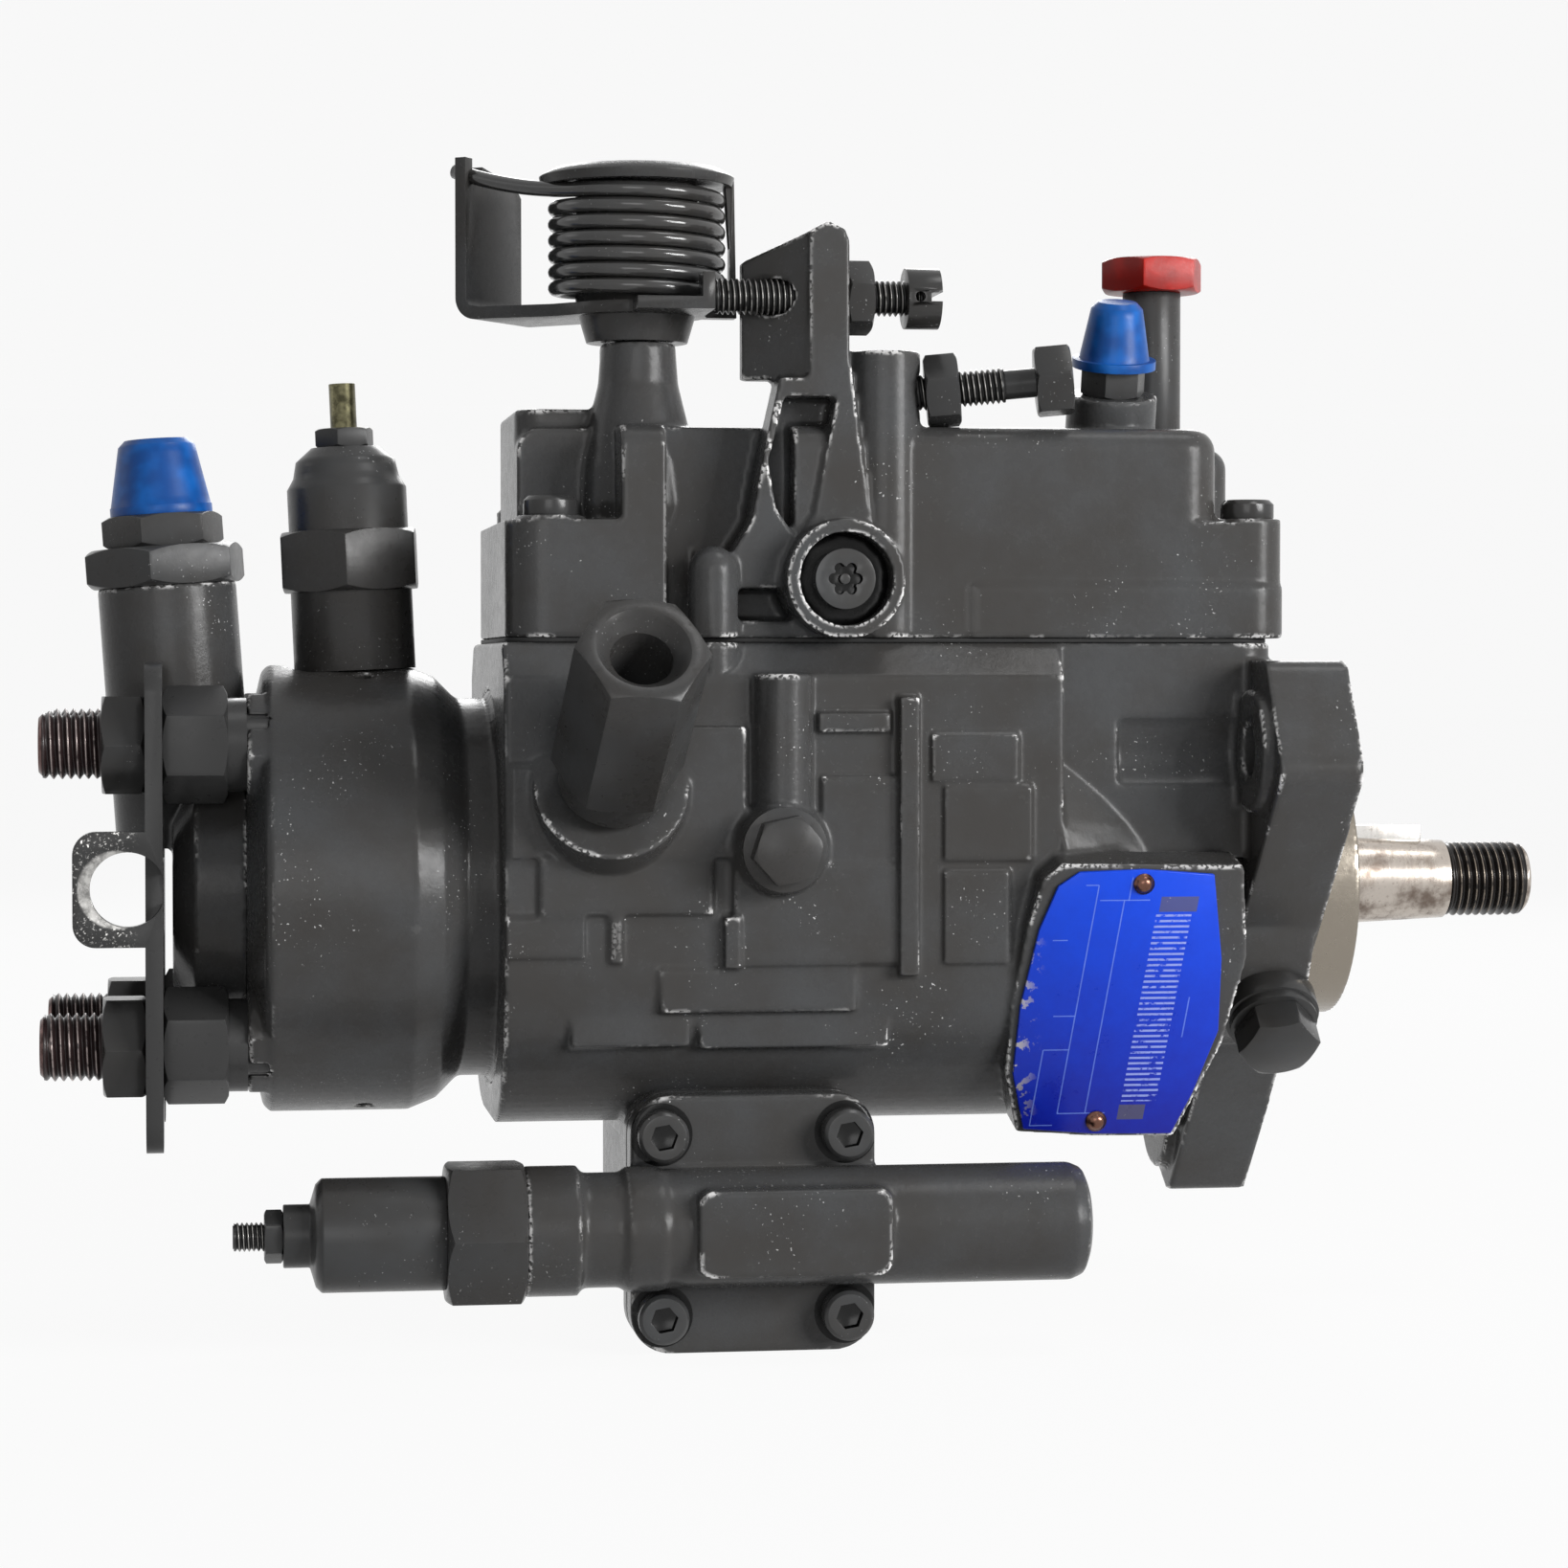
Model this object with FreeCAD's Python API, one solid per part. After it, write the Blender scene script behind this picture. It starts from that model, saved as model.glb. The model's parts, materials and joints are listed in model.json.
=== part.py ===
"""Rotary diesel injection pump for a four cylinder engine, in millimetres.

The frame: X runs along the drive shaft and out of the drive end, Z is up, and the origin is where the
shaft's axis meets the front face of the mounting flange.
"""
import FreeCAD
import Part
import math
import os

V = FreeCAD.Vector
ALONG = V(1, 0, 0)
UP = V(0, 0, 1)
NEAR = V(0, -1, 0)

# Clearances shared by every fit.
RUNNING = 0.03
FREE = 0.3

# Drive shaft.
THREAD_R = 7.0
THREAD_LENGTH = 16.0
TAPER_SMALL_R = 7.35
TAPER_BIG_R = 8.5
TAPER_LENGTH = 23.0
JOURNAL_R = 10.0
SPLINE_R = JOURNAL_R - 2.0
KEY_WIDTH = 4.0
KEY_LENGTH = 18.0
KEY_HEIGHT = 4.6
KEY_PROUD = 2.2

# Mounting flange and spigot.
SPIGOT_R = 25.0
SPIGOT_LENGTH = 9.0
FLANGE_T = 15.0
FLANGE_TOP = 41.4
EAR_MARK_R = 2.2
EAR_HALF_WIDTH = 11.5
EAR_REACH = 61.0
LOW_EAR_REACH = 66.0
NEAR_EAR_ANGLE = 149.0
FAR_EAR_ANGLE = 31.0
LOW_EAR_ANGLE = 301.0
FLANGE_HOLE_R = 4.5
HOLE_INSET = 12.0
EAR_BOSS_R = 11.0
EAR_BOSS_LENGTH = 2.0
NUT_ROOM_R = 9.0
NUT_ROOM = 22.0

# Pump housing.
BODY_REAR = -149.0
BODY_FRONT = -50.0
NECK_FRONT = -20.0
RIM_FRONT = -10.0
RIM_DEPTH = 6.0
BUSH_R = JOURNAL_R + 4.0
SEAL_R = JOURNAL_R + 7.0
SEAL_WIDTH = 7.0
CHAMBER_FRONT = -38.0
CAM_BORE_FRONT = -90.0
WINDOW_HALF = 22.0

# Governor: cage, weights, sleeve and arm.
CAGE_T = 3.0
CAGE_BACK = -39.0
PIVOT_X = -45.5
PIVOT_PIN_R = 1.5
WEIGHT_HALF = 7.0
WEIGHT_LENGTH = 18.0
WEIGHT_DEPTH = 9.3
WEIGHTS = 4
CAGE_EAR_T = 2.0
TOE_R = 1.8
TOE_REACH = 9.7
SLEEVE_R = JOURNAL_R + 3.0
SLEEVE_END = -76.0
COLLAR_R = SLEEVE_R + 4.0
COLLAR_T = 3.5
WEIGHT_INNER_R = SLEEVE_R + 2.2
WEIGHT_OUTER_R = WEIGHT_INNER_R + WEIGHT_DEPTH
PIVOT_R = WEIGHT_OUTER_R - 2.5
CAGE_R = WEIGHT_OUTER_R + 5.5
ARM_T = 3.0
ARM_PIN_R = 2.5
ARM_TOP_Z = 74.0
LINK_Z = 61.0
LINK_Y = 7.0
LINK_HALF = 0.9
METER_Y = 17.2
METER_R = 3.0

# Cam ring and pumping plungers.
CAM_X = -106.0
CAM_LENGTH = 18.0
CAM_LOBE_R = 12.0
LOBES = 4
CAM_PIN_R = 4.6
CAM_BALL_R = 5.6
ROTOR_R = 9.0
PLUNGER_R = 4.0
ROLLER_R = 4.5
ROLLER_LENGTH = 13.0
SHOE_WIDTH = 11.0
SHOE_HEIGHT = 7.0
PLUNGER_GAP = 2.6

# The housing's bores hold the governor and the cam ring, and its walls stand round them.
CHAMBER_R = CAGE_R + 4.0
CAM_BORE_R = CHAMBER_R + 2.0
BODY_WALL = 5.0
BODY_HALF = CAM_BORE_R + BODY_WALL
BODY_BOTTOM = -BODY_HALF - 1.0
BODY_CORNER_R = BODY_HALF - 11.0
SPLIT_Z = CAM_BORE_R + 8.5
NECK_R = CHAMBER_R - 3.0
RIM_HALF = BODY_HALF - 5.5
CAM_BASE_R = CAM_BORE_R - 10.2
CAM_PEAK_R = CAM_BASE_R - 2.4
CAM_PIN_REACH = BODY_HALF + 11.0
ARM_PIVOT_Z = CAM_BORE_R
ROLLER_AT = CAM_PEAK_R - FREE - ROLLER_R
SHOE_FOOT = ROLLER_AT - SHOE_HEIGHT + 1.0
PLUNGER_LENGTH = SHOE_FOOT - PLUNGER_GAP
ROTOR_HEAD_R = ROLLER_AT + 0.4
ROTOR_HEAD_HALF = 12.0
ROTOR_HEAD_FRONT = CAM_X + ROTOR_HEAD_HALF
ARM_FRONT = SLEEVE_END - FREE - 1.4
ARM_X = ARM_FRONT - ARM_T / 2

# Hydraulic head.
COLLAR_REAR = -190.0
COLLAR_FRONT = -163.0
HEAD_SHOULDER_R = CAM_BORE_R + 1.0
HEAD_COLLAR_R = HEAD_SHOULDER_R + 3.5
HEAD_FRONT = -125.0
HEAD_INNER_R = CAM_BORE_R - RUNNING
METER_X = HEAD_FRONT - 9.0
HYD_SLEEVE_R = 14.0
OUTLET_Y = 22.0
OUTLET_Z = 26.5
OUTLET_BOSS_R = 9.6

# Rear end plate and transfer pump.
END_R = 23.8
END_REAR = COLLAR_REAR - 16.0
LINER_R = 21.0
LINER_BORE_R = 15.0
LINER_OFFSET = 1.6
LINER_FRONT = COLLAR_REAR
LINER_REAR = END_REAR + 3.0
VANE_T = 3.0

# Outlets and the plate that keeps them.
OUTLET_THREAD_R = 6.0
OUTLET_STEM_R = 6.5
OUTLET_STUD_R = 5.5
OUTLET_NUT_AF = 17.0
OUTLET_NUT_T = 7.5
KEEPER_X = END_REAR - 4.6
OUTLET_TIP = KEEPER_X - 18.4
KEEPER_T = 3.0
KEEPER_INNER = OUTLET_Y - 8.0
KEEPER_OUTER = OUTLET_Y + 13.0
UNION_HEX_AF = 18.0
KEEPER_TOP = 41.0
KEEPER_BOTTOM = -44.6
EYE_REAR = KEEPER_X - 12.4
EYE_HALF = 10.0
EYE_Z = 1.7
EYE_HOLE_R = 6.5

# Inlet.
INLET_X = COLLAR_REAR - 13.0
INLET_LEAN = 4.0
INLET_R = 12.4
INLET_BASE_Z = 55.0
INLET_HEX_AF = 26.0
INLET_BIG_T = 7.0
INLET_SMALL_AF = 19.0
INLET_SMALL_T = 5.8
INLET_CAP_TOP = 81.4
INLET_CAP_R = 9.0
INLET_CAP_TOP_R = 6.9
INLET_NECK_R = 6.2

# Stop solenoid.
SOL_X = -173.0
SOL_LEAN = 2.5
SOL_R = 11.0
SOL_HEX_AF = 24.0
SOL_TOP_R = 9.6
SOL_SEAT_Z = 39.6

# Governor cover.
COVER_REAR = -148.0
COVER_FRONT = -8.0
COVER_HALF = RIM_HALF + 0.5
LEDGE_Z = SPLIT_Z + 21.5
TOP_Z = LEDGE_Z + 16.8
TOP_FRONT = -20.0
TOP_REAR = -145.0
TOP_FAR = 24.5
FAR_TOP_REACH = 11.0
BAND_REAR = -70.5
BAND_Z = 54.6
BAND_T = 0.7
COVER_WALL = 4.0
ROOM_NEAR = 11.0
GASKET_T = 0.8
COVER_SCREW_R = 3.0
COVER_SCREW_Y = 30.0
COVER_SCREW_REAR = -140.0
COVER_SCREW_FRONT = -14.0
COVER_SCREW_HEAD_R = 4.8

# Throttle shaft, lever and return spring.
THROTTLE_X = -123.0
THROTTLE_Y = -15.0
THROTTLE_R = 4.0
THROTTLE_BOSS_R = 6.7
THROTTLE_BOSS_TOP = TOP_Z + 15.2
LEVER_Z = THROTTLE_BOSS_TOP + 5.0
LEVER_T = 2.2
LEVER_EYE_R = 12.5
LEVER_ANGLE = 145.0
TAB_REACH = 29.5
TAB_NEAR = 10.5
TAB_FAR = 9.5
SPRING_R = 14.8
SPRING_WIRE_R = 1.6
SPRING_TURNS = 7
SPRING_LIFT = 3.3
SPRING_STEPS = 20
SPRING_SIDES = [math.pi / 4 * k for k in range(8)]
SPRING_BASE = LEVER_Z + LEVER_T + SPRING_LIFT
DRUM_R = 11.0
RIM_R = 17.4
STRAP_FROM = -1.0
STRAP_TO = 3.0
RIM_Z = SPRING_BASE + 23.0
TAB_TOP = RIM_Z + 0.8
CRANK_Z = LEDGE_Z + 2.0
CRANK_ANGLE = 35.0
CRANK_REACH = 9.5

# Stop screws and the post that holds the first one.
STOP_Y = -31.0
STOP_Z = LEVER_Z + 2.5
STOP_R = 3.2
STOP_TIP = -111.0
STOP_HEAD = -71.0
POST_REAR = -105.6
POST_FACE = -95.0
POST_FRONT = -87.7
POST_T = 13.0
IDLE_R = 3.2
IDLE_TOWER_X = -80.6
IDLE_TOWER_Y = -31.0
IDLE_TOWER_R = 6.4
IDLE_TOWER_TOP = TOP_Z + 13.2
IDLE_Z = TOP_Z + 6.0

# Side fittings.
ADAPTOR_X = -130.6
ADAPTOR_Z = 19.5
ADAPTOR_TILT = 36.0
ADAPTOR_AF = 20.0
ADAPTOR_LENGTH = 34.0
ADAPTOR_LIFT = 6.5
ADAPTOR_BORE_R = 5.3
ADAPTOR_MOUTH_R = 8.0
ADAPTOR_BOSS_R = 13.5
SIDE_BOLT_X = -100.9
SIDE_BOLT_Z = 8.5
SIDE_BOLT_AF = 11.0
TORX_X = -89.2
TORX_Z = 55.6
TORX_BOSS_R = 10.5
TORX_RECESS_R = 8.2
TORX_HEAD_R = 5.3
LOCK_X = -7.5
LOCK_ANGLE = 224.0
LOCK_R = 5.0
LOCK_AF = 13.0
LOCK_SEAT = NECK_R - 0.5

# Name plate.
PLATE_X = -37.5
PLATE_Z = -19.5
PLATE_Y = -BODY_HALF
PLATE_TILT = 14.0
PLATE_T = 0.8
PLATE_PAD = 5.0
PLATE_OUTLINE = [
    (-11.0, 24.6), (0.5, 25.0), (13.2, 24.0), (15.5, 8.4), (15.8, -5.1), (11.8, -16.8), (8.3, -24.5),
    (-6.1, -24.3), (-18.8, -23.2), (-21.2, -12.6), (-20.5, -0.1), (-17.8, 14.1), (-14.8, 22.0),
]
PAD_OUTLINE = [
    (-14.0, 25.8), (18.7, 25.4), (20.4, 8.4), (16.9, -7.8), (12.6, -17.2), (9.0, -25.3), (-6.1, -25.1),
    (-19.8, -24.0), (-22.4, -12.6), (-21.9, -0.1), (-19.8, 14.1), (-17.4, 23.0),
]

# Cover connections.
RETURN_X = -24.5
RETURN_R = 5.4
RETURN_TOP = TOP_Z + 27.2
RED_AF = 17.2
LEAK_X = -36.0
LEAK_Y = -14.0
LEAK_LEAN = 14.0
LEAK_FOOT = 13.5

# Advance box and its control valve.
ADV_HALF = 18.0
ADV_BORE_R = 11.0
ADV_DROP = 14.8
ADV_NEAR = -38.0
ADV_FAR = 38.0
ADV_Z = BODY_BOTTOM - ADV_DROP
ADV_TOP = BODY_BOTTOM - 3.0
ADV_BOTTOM = ADV_TOP - 29.0
PISTON_HALF = 15.0
VALVE_PLATE_T = 7.0
VALVE_PLATE_HALF_X = 21.5
VALVE_PLATE_HALF_Z = 22.5
VALVE_Y = -49.0
VALVE_R = 10.3
VALVE_LEFT = -146.5
VALVE_RIGHT = -48.0
VALVE_BORE_R = 5.0
VALVE_SCREW_DX = 16.2
VALVE_SCREW_DZ = 15.8
VALVE_SCREW_R = 2.5
VALVE_SCREW_HEAD_R = 4.4
VALVE_HEX_AF = 23.0
VALVE_HEX_LEFT = -160.0
VALVE_CAP_LEFT = -182.0
VALVE_CAP_R = 9.75
STUB_LEFT = VALVE_CAP_LEFT - 5.5
ADJUSTER_TIP = -196.0
SPOOL_LEFT = -112.0
SPOOL_RIGHT = -70.0
SPOOL_LAND = 13.0
SPOOL_WAIST = 1.6
ADJUSTER_R = 2.5


def box(x0, x1, y0, y1, z0, z1):
    return Part.makeBox(x1 - x0, y1 - y0, z1 - z0, V(x0, y0, z0))


def rod(radius, start, end):
    """A cylinder between two points."""
    start = V(*start)
    span = V(*end) - start
    return Part.makeCylinder(radius, span.Length, start, span)


def cone(r_start, r_end, start, end):
    start = V(*start)
    span = V(*end) - start
    return Part.makeCone(r_start, r_end, span.Length, start, span)


def shaft_ring(r_out, r_in, x0, x1):
    """A ring on the drive shaft's axis."""
    return rod(r_out, (x0, 0, 0), (x1, 0, 0)).cut(rod(r_in, (x0 - 1, 0, 0), (x1 + 1, 0, 0)))


def placed(shape, base, direction):
    """A shape drawn up +Z, moved so that it stands on base and points along direction."""
    shape.Placement = FreeCAD.Placement(V(*base), FreeCAD.Rotation(UP, V(*direction)))
    return shape


def turned(profile, base=(0, 0, 0), direction=(0, 0, 1)):
    """A lathe-turned solid: profile is a list of (radius, height) from the foot to the top."""
    points = [V(0, 0, profile[0][1])] + [V(r, 0, h) for r, h in profile] + [V(0, 0, profile[-1][1])]
    clean = [p for i, p in enumerate(points) if i == 0 or (p - points[i - 1]).Length > 1e-6]
    face = Part.Face(Part.makePolygon(clean + [clean[0]]))
    return placed(face.revolve(V(0, 0, 0), UP, 360), base, direction)


def hexagon(flats, height, base=(0, 0, 0), direction=(0, 0, 1), turn=0.0, chamfer=True):
    """A hexagon bar whose corners are chamfered at both ends, as on a nut."""
    corner = flats / math.sqrt(3)
    angles = [math.radians(turn + 60 * i) for i in range(7)]
    bar = Part.Face(Part.makePolygon([V(corner * math.cos(a), corner * math.sin(a), 0) for a in angles]))
    bar = bar.extrude(V(0, 0, height))
    if chamfer:
        cut_back = corner - flats / 2
        low = 0.55 * cut_back
        bar = bar.common(turned([(flats / 2, 0), (corner, low), (corner, height - low), (flats / 2, height)]))
    return placed(bar, base, direction)


def outline(points, thickness, axis):
    """A closed outline pushed along X or Y: points are (y, z) for X and (x, z) for Y."""
    start, depth = thickness
    if axis == "x":
        wire = Part.makePolygon([V(start, a, b) for a, b in points + points[:1]])
        return Part.Face(wire).extrude(V(depth, 0, 0))
    wire = Part.makePolygon([V(a, start, b) for a, b in points + points[:1]])
    return Part.Face(wire).extrude(V(0, depth, 0))


def rounded(shape, radius, chosen):
    """The shape with a fillet on every edge that the test picks."""
    edges = [e for e in shape.Edges if chosen(e)]
    return shape.makeFillet(radius, edges) if edges else shape


def along(direction):
    """A test for straight edges that run along a direction."""
    def test(edge):
        if not isinstance(edge.Curve, Part.Line):
            return False
        return abs(edge.tangentAt(edge.FirstParameter).dot(direction)) > 0.999
    return test


def ring_point(radius, angle, x=0.0):
    a = math.radians(angle)
    return (x, radius * math.cos(a), radius * math.sin(a))


def turned_about_x(shape, angle):
    copy = shape.copy()
    copy.rotate(V(0, 0, 0), ALONG, angle)
    return copy


def leaning(x, y, z, length, lean_back=0.0, lean_near=0.0):
    """The far end of a line of that length that leans off the vertical, in degrees."""
    a = math.radians(lean_back)
    b = math.radians(lean_near)
    step = V(-math.sin(a), -math.sin(b), math.sqrt(max(0.0, 1 - math.sin(a) ** 2 - math.sin(b) ** 2)))
    return V(x, y, z) + step * length


def flange_holes():
    """Centres of the three flange holes, each on the middle line of its ear."""
    ears = ((NEAR_EAR_ANGLE, EAR_REACH), (FAR_EAR_ANGLE, EAR_REACH), (LOW_EAR_ANGLE, LOW_EAR_REACH))
    return [ring_point(reach - HOLE_INSET, angle) for angle, reach in ears]


def flange_plate():
    corners = []
    ears = ((FAR_EAR_ANGLE, EAR_REACH), (NEAR_EAR_ANGLE, EAR_REACH), (LOW_EAR_ANGLE, LOW_EAR_REACH))
    for angle, reach in ears:
        a = math.radians(angle)
        for side in (-1, 1):
            y = reach * math.cos(a) - side * EAR_HALF_WIDTH * math.sin(a)
            z = reach * math.sin(a) + side * EAR_HALF_WIDTH * math.cos(a)
            corners.append((y, min(z, FLANGE_TOP)))
    plate = rounded(outline(corners, (-FLANGE_T, FLANGE_T), "x"), 4.0, along(ALONG))
    for x, y, z in flange_holes():
        plate = plate.fuse(rod(EAR_BOSS_R, (-FLANGE_T - EAR_BOSS_LENGTH, y, z), (-FLANGE_T, y, z)))
    return plate


def body_section():
    """Half round at the foot and straight sided above, as the casting is."""
    side = BODY_HALF
    foot = BODY_BOTTOM
    r = BODY_CORNER_R
    cy = side - r
    cz = foot + r
    k = r / math.sqrt(2)
    low_far = Part.Arc(V(0, cy, foot), V(0, cy + k, cz - k), V(0, side, cz)).toShape()
    low_near = Part.Arc(V(0, -side, cz), V(0, -cy - k, cz - k), V(0, -cy, foot)).toShape()
    lines = [
        Part.makeLine(V(0, -cy, foot), V(0, cy, foot)), low_far,
        Part.makeLine(V(0, side, cz), V(0, side, SPLIT_Z - RIM_DEPTH)),
        Part.makeLine(V(0, side, SPLIT_Z - RIM_DEPTH), V(0, RIM_HALF, SPLIT_Z)),
        Part.makeLine(V(0, RIM_HALF, SPLIT_Z), V(0, -RIM_HALF, SPLIT_Z)),
        Part.makeLine(V(0, -RIM_HALF, SPLIT_Z), V(0, -side, SPLIT_Z - RIM_DEPTH)),
        Part.makeLine(V(0, -side, SPLIT_Z - RIM_DEPTH), V(0, -side, cz)), low_near,
    ]
    return Part.Wire(Part.__sortEdges__(lines))


def side_panels():
    """Raised panels and ribs of the casting's near side: x from, x to, z from, z to, height."""
    panels = [
        (-143.0, -112.7, -2.9, 7.0, 1.2), (-147.9, -135.1, 7.1, 22.7, 0.8), (-128.3, -106.8, 6.9, 29.7, 1.6),
        (-93.3, -78.8, 6.0, 20.9, 0.9), (-109.0, -79.6, -12.0, 5.4, 1.3), (-130.6, -128.6, -11.3, -3.8, 1.2),
        (-110.7, -108.0, -12.5, -3.5, 2.0), (-79.8, -76.4, -14.0, 34.9, 2.6), (-73.7, -58.4, 20.2, 28.2, 0.9),
        (-71.5, -56.0, 6.2, 19.1, 0.9), (-94.1, -81.4, 28.7, 32.1, 1.6), (-149.0, -135.3, -10.2, -3.6, 0.8),
        (-71.5, -60.0, -12.0, 4.2, 0.9), (-121.9, -87.3, -20.3, -12.9, 0.5),
        (-137.3, -116.6, -26.3, -20.2, -1.2), (-114.9, -81.3, -26.8, -20.5, -1.4),
    ]
    return [box(x0, x1, -BODY_HALF - proud, -BODY_HALF + 6, z0, z1) for x0, x1, z0, z1, proud in panels]


def adaptor_axis():
    tilt = math.radians(ADAPTOR_TILT)
    return V(0.05, -math.cos(tilt), math.sin(tilt)).normalize()


def adaptor_base():
    return V(ADAPTOR_X, -BODY_HALF - 2.5, ADAPTOR_Z)


def plate_frame():
    """Centre, in-plane up direction and outward normal of the name plate."""
    tilt = math.radians(PLATE_TILT)
    up = V(0, -math.sin(tilt), math.cos(tilt))
    return V(PLATE_X, PLATE_Y, PLATE_Z), up, V(0, -math.cos(tilt), -math.sin(tilt))


def plate_shape(points, depth, lift):
    """An outline in the name plate's plane, lifted and pushed along its normal."""
    centre, up, normal = plate_frame()
    wire = [centre + ALONG * a + up * b + normal * lift for a, b in points]
    return Part.Face(Part.makePolygon(wire + wire[:1])).extrude(normal * depth)


def pump_housing():
    body = Part.Face(body_section()).extrude(V(BODY_FRONT - BODY_REAR, 0, 0))
    body.translate(V(BODY_REAR, 0, 0))
    neck = cone(BODY_HALF + 1.5, NECK_R, (BODY_FRONT, 0, 0), (NECK_FRONT, 0, 0))
    neck = neck.fuse(rod(NECK_R, (NECK_FRONT, 0, 0), (-1, 0, 0)))
    shoulder = rounded(box(BODY_FRONT - 5, RIM_FRONT, -RIM_HALF, RIM_HALF, 6, SPLIT_Z), 6.0, along(UP))
    mark_z = -LOW_EAR_REACH * 0.7
    ear_mark = rod(EAR_MARK_R, (-8.2, -LOW_EAR_REACH / 3, mark_z), (-8.2, 6, mark_z))
    spigot = rod(SPIGOT_R, (-1, 0, 0), (SPIGOT_LENGTH, 0, 0))
    casting = body.multiFuse([neck, shoulder, flange_plate(), spigot])
    pad = box(CAM_X - ADV_HALF - 2, CAM_X + ADV_HALF + 2, -24, 24, ADV_TOP, BODY_BOTTOM + 12)
    boss = rod(ADAPTOR_BOSS_R, (ADAPTOR_X, -BODY_HALF + 6, ADAPTOR_Z - 4), adaptor_base())
    gallery_x = SIDE_BOLT_X + 0.6
    gallery_top = (gallery_x, -BODY_HALF, SPLIT_Z - RIM_DEPTH + 0.5)
    gallery = rod(5.0, (gallery_x, -BODY_HALF, SIDE_BOLT_Z + 3), gallery_top)
    bolt_foot = (SIDE_BOLT_X, -BODY_HALF + 4, SIDE_BOLT_Z)
    bolt_boss = cone(10.0, 7.2, bolt_foot, (SIDE_BOLT_X, -BODY_HALF - 6, SIDE_BOLT_Z))
    half_round = rod(4.4, (-112, -RIM_HALF - 1.0, SPLIT_Z - 14.5), (-112, -RIM_HALF - 1.0, SPLIT_Z))
    web = box(-34, -FLANGE_T + 1, 14, 32, -48, -20)
    casting = casting.multiFuse([pad, boss, gallery, bolt_boss, half_round, web] + side_panels())
    casting = casting.fuse(plate_shape(PAD_OUTLINE, PLATE_PAD + 4, -PLATE_PAD - 4))
    lock_end = ring_point(LOCK_SEAT + 30, LOCK_ANGLE, LOCK_X)
    cuts = [
        rod(SEAL_R, (SPIGOT_LENGTH - SEAL_WIDTH, 0, 0), (SPIGOT_LENGTH + 1, 0, 0)),
        rod(BUSH_R, (CHAMBER_FRONT - 1, 0, 0), (SPIGOT_LENGTH, 0, 0)),
        rod(CHAMBER_R, (CAM_BORE_FRONT - 1, 0, 0), (CHAMBER_FRONT, 0, 0)),
        rod(CAM_BORE_R, (BODY_REAR - 1, 0, 0), (CAM_BORE_FRONT, 0, 0)),
        box(CAM_BORE_FRONT - 2, CHAMBER_FRONT - 4, -WINDOW_HALF, WINDOW_HALF, CHAMBER_R / 2, SPLIT_Z + 1),
        rod(METER_R + 1.8, (METER_X, METER_Y, METER_Y), (METER_X, METER_Y, SPLIT_Z + 1)),
        box(CAM_X - 8, CAM_X + 8, -13, 13, ADV_TOP - 1, -CAM_BORE_R + 6),
        rod(LOCK_R, ring_point(JOURNAL_R, LOCK_ANGLE, LOCK_X), lock_end),
        rod(LOCK_R + 5.5, ring_point(LOCK_SEAT, LOCK_ANGLE, LOCK_X), lock_end),
        rod(4.0, adaptor_base() - adaptor_axis() * 9, adaptor_base()),
        rod(3.0, (SIDE_BOLT_X, -BODY_HALF + 2, SIDE_BOLT_Z), (SIDE_BOLT_X, -BODY_HALF - 20, SIDE_BOLT_Z)),
        ear_mark,
    ]
    for x, y, z in flange_holes():
        seat = -FLANGE_T - EAR_BOSS_LENGTH
        cuts.append(rod(FLANGE_HOLE_R, (seat - 1, y, z), (1, y, z)))
        cuts.append(rod(NUT_ROOM_R, (seat - NUT_ROOM, y, z), (seat, y, z)))
    return casting.cut(Part.makeCompound(cuts)).removeSplitter()


def post_and_ribs():
    """The upright of the speed stop screw: a narrow slab, a wedge behind it, and a thin rib with a window."""
    near = STOP_Y - 6
    slab_top = STOP_Z + 13
    slab = [(POST_FACE, slab_top - 1.8), (POST_FACE + 3.5, slab_top), (POST_FRONT - 0.8, slab_top - 1.4),
            (POST_FRONT, slab_top - 3.6), (POST_FRONT, STOP_Z - 10), (POST_FRONT + 3.6, LEDGE_Z),
            (POST_FRONT + 3.6, LEDGE_Z - 10), (POST_FACE, LEDGE_Z - 10)]
    post = outline(slab, (near, POST_T), "y")
    foot = STOP_Z - 14.5
    plan = [V(POST_FACE + 1, near, foot), V(POST_FACE + 1, near + POST_T, foot),
            V(POST_REAR, near + POST_T, foot), V(POST_REAR, near + POST_T - 3.5, foot)]
    wedge = Part.Face(Part.makePolygon(plan + plan[:1])).extrude(V(0, 0, slab_top - foot))
    above = [(POST_REAR - 1, STOP_Z + 6.0), (POST_FACE + 2, slab_top - 1.0), (POST_FACE + 2, slab_top + 5),
             (POST_REAR - 1, slab_top + 5)]
    wedge = wedge.cut(outline(above, (near - 1, POST_T + 2), "y"))
    rib = [(POST_FACE + 1, foot), (POST_FACE - 5.1, foot), (POST_FACE - 6.8, STOP_Z - 22),
           (POST_FACE - 8.5, LEDGE_Z + 9), (POST_FACE - 10.2, LEDGE_Z - 0.4), (POST_FACE - 14.1, LEDGE_Z - 6.6),
           (POST_FACE - 18.7, LEDGE_Z - 5.4), (POST_FACE - 18.7, LEDGE_Z - 12), (POST_FACE + 1, LEDGE_Z - 12)]
    hole = [(POST_FACE - 4.3, foot - 3.3), (POST_FACE + 5, foot - 3.3), (POST_FACE + 1, LEDGE_Z + 1),
            (POST_FACE - 2, LEDGE_Z - 3.5), (POST_FACE - 5.8, LEDGE_Z + 2), (POST_FACE - 7.2, LEDGE_Z + 10.3)]
    leg = outline(rib, (near, POST_T - 3), "y")
    return post.multiFuse([wedge, leg]).cut(outline(hole, (near - 1, POST_T - 4), "y"))


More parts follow.
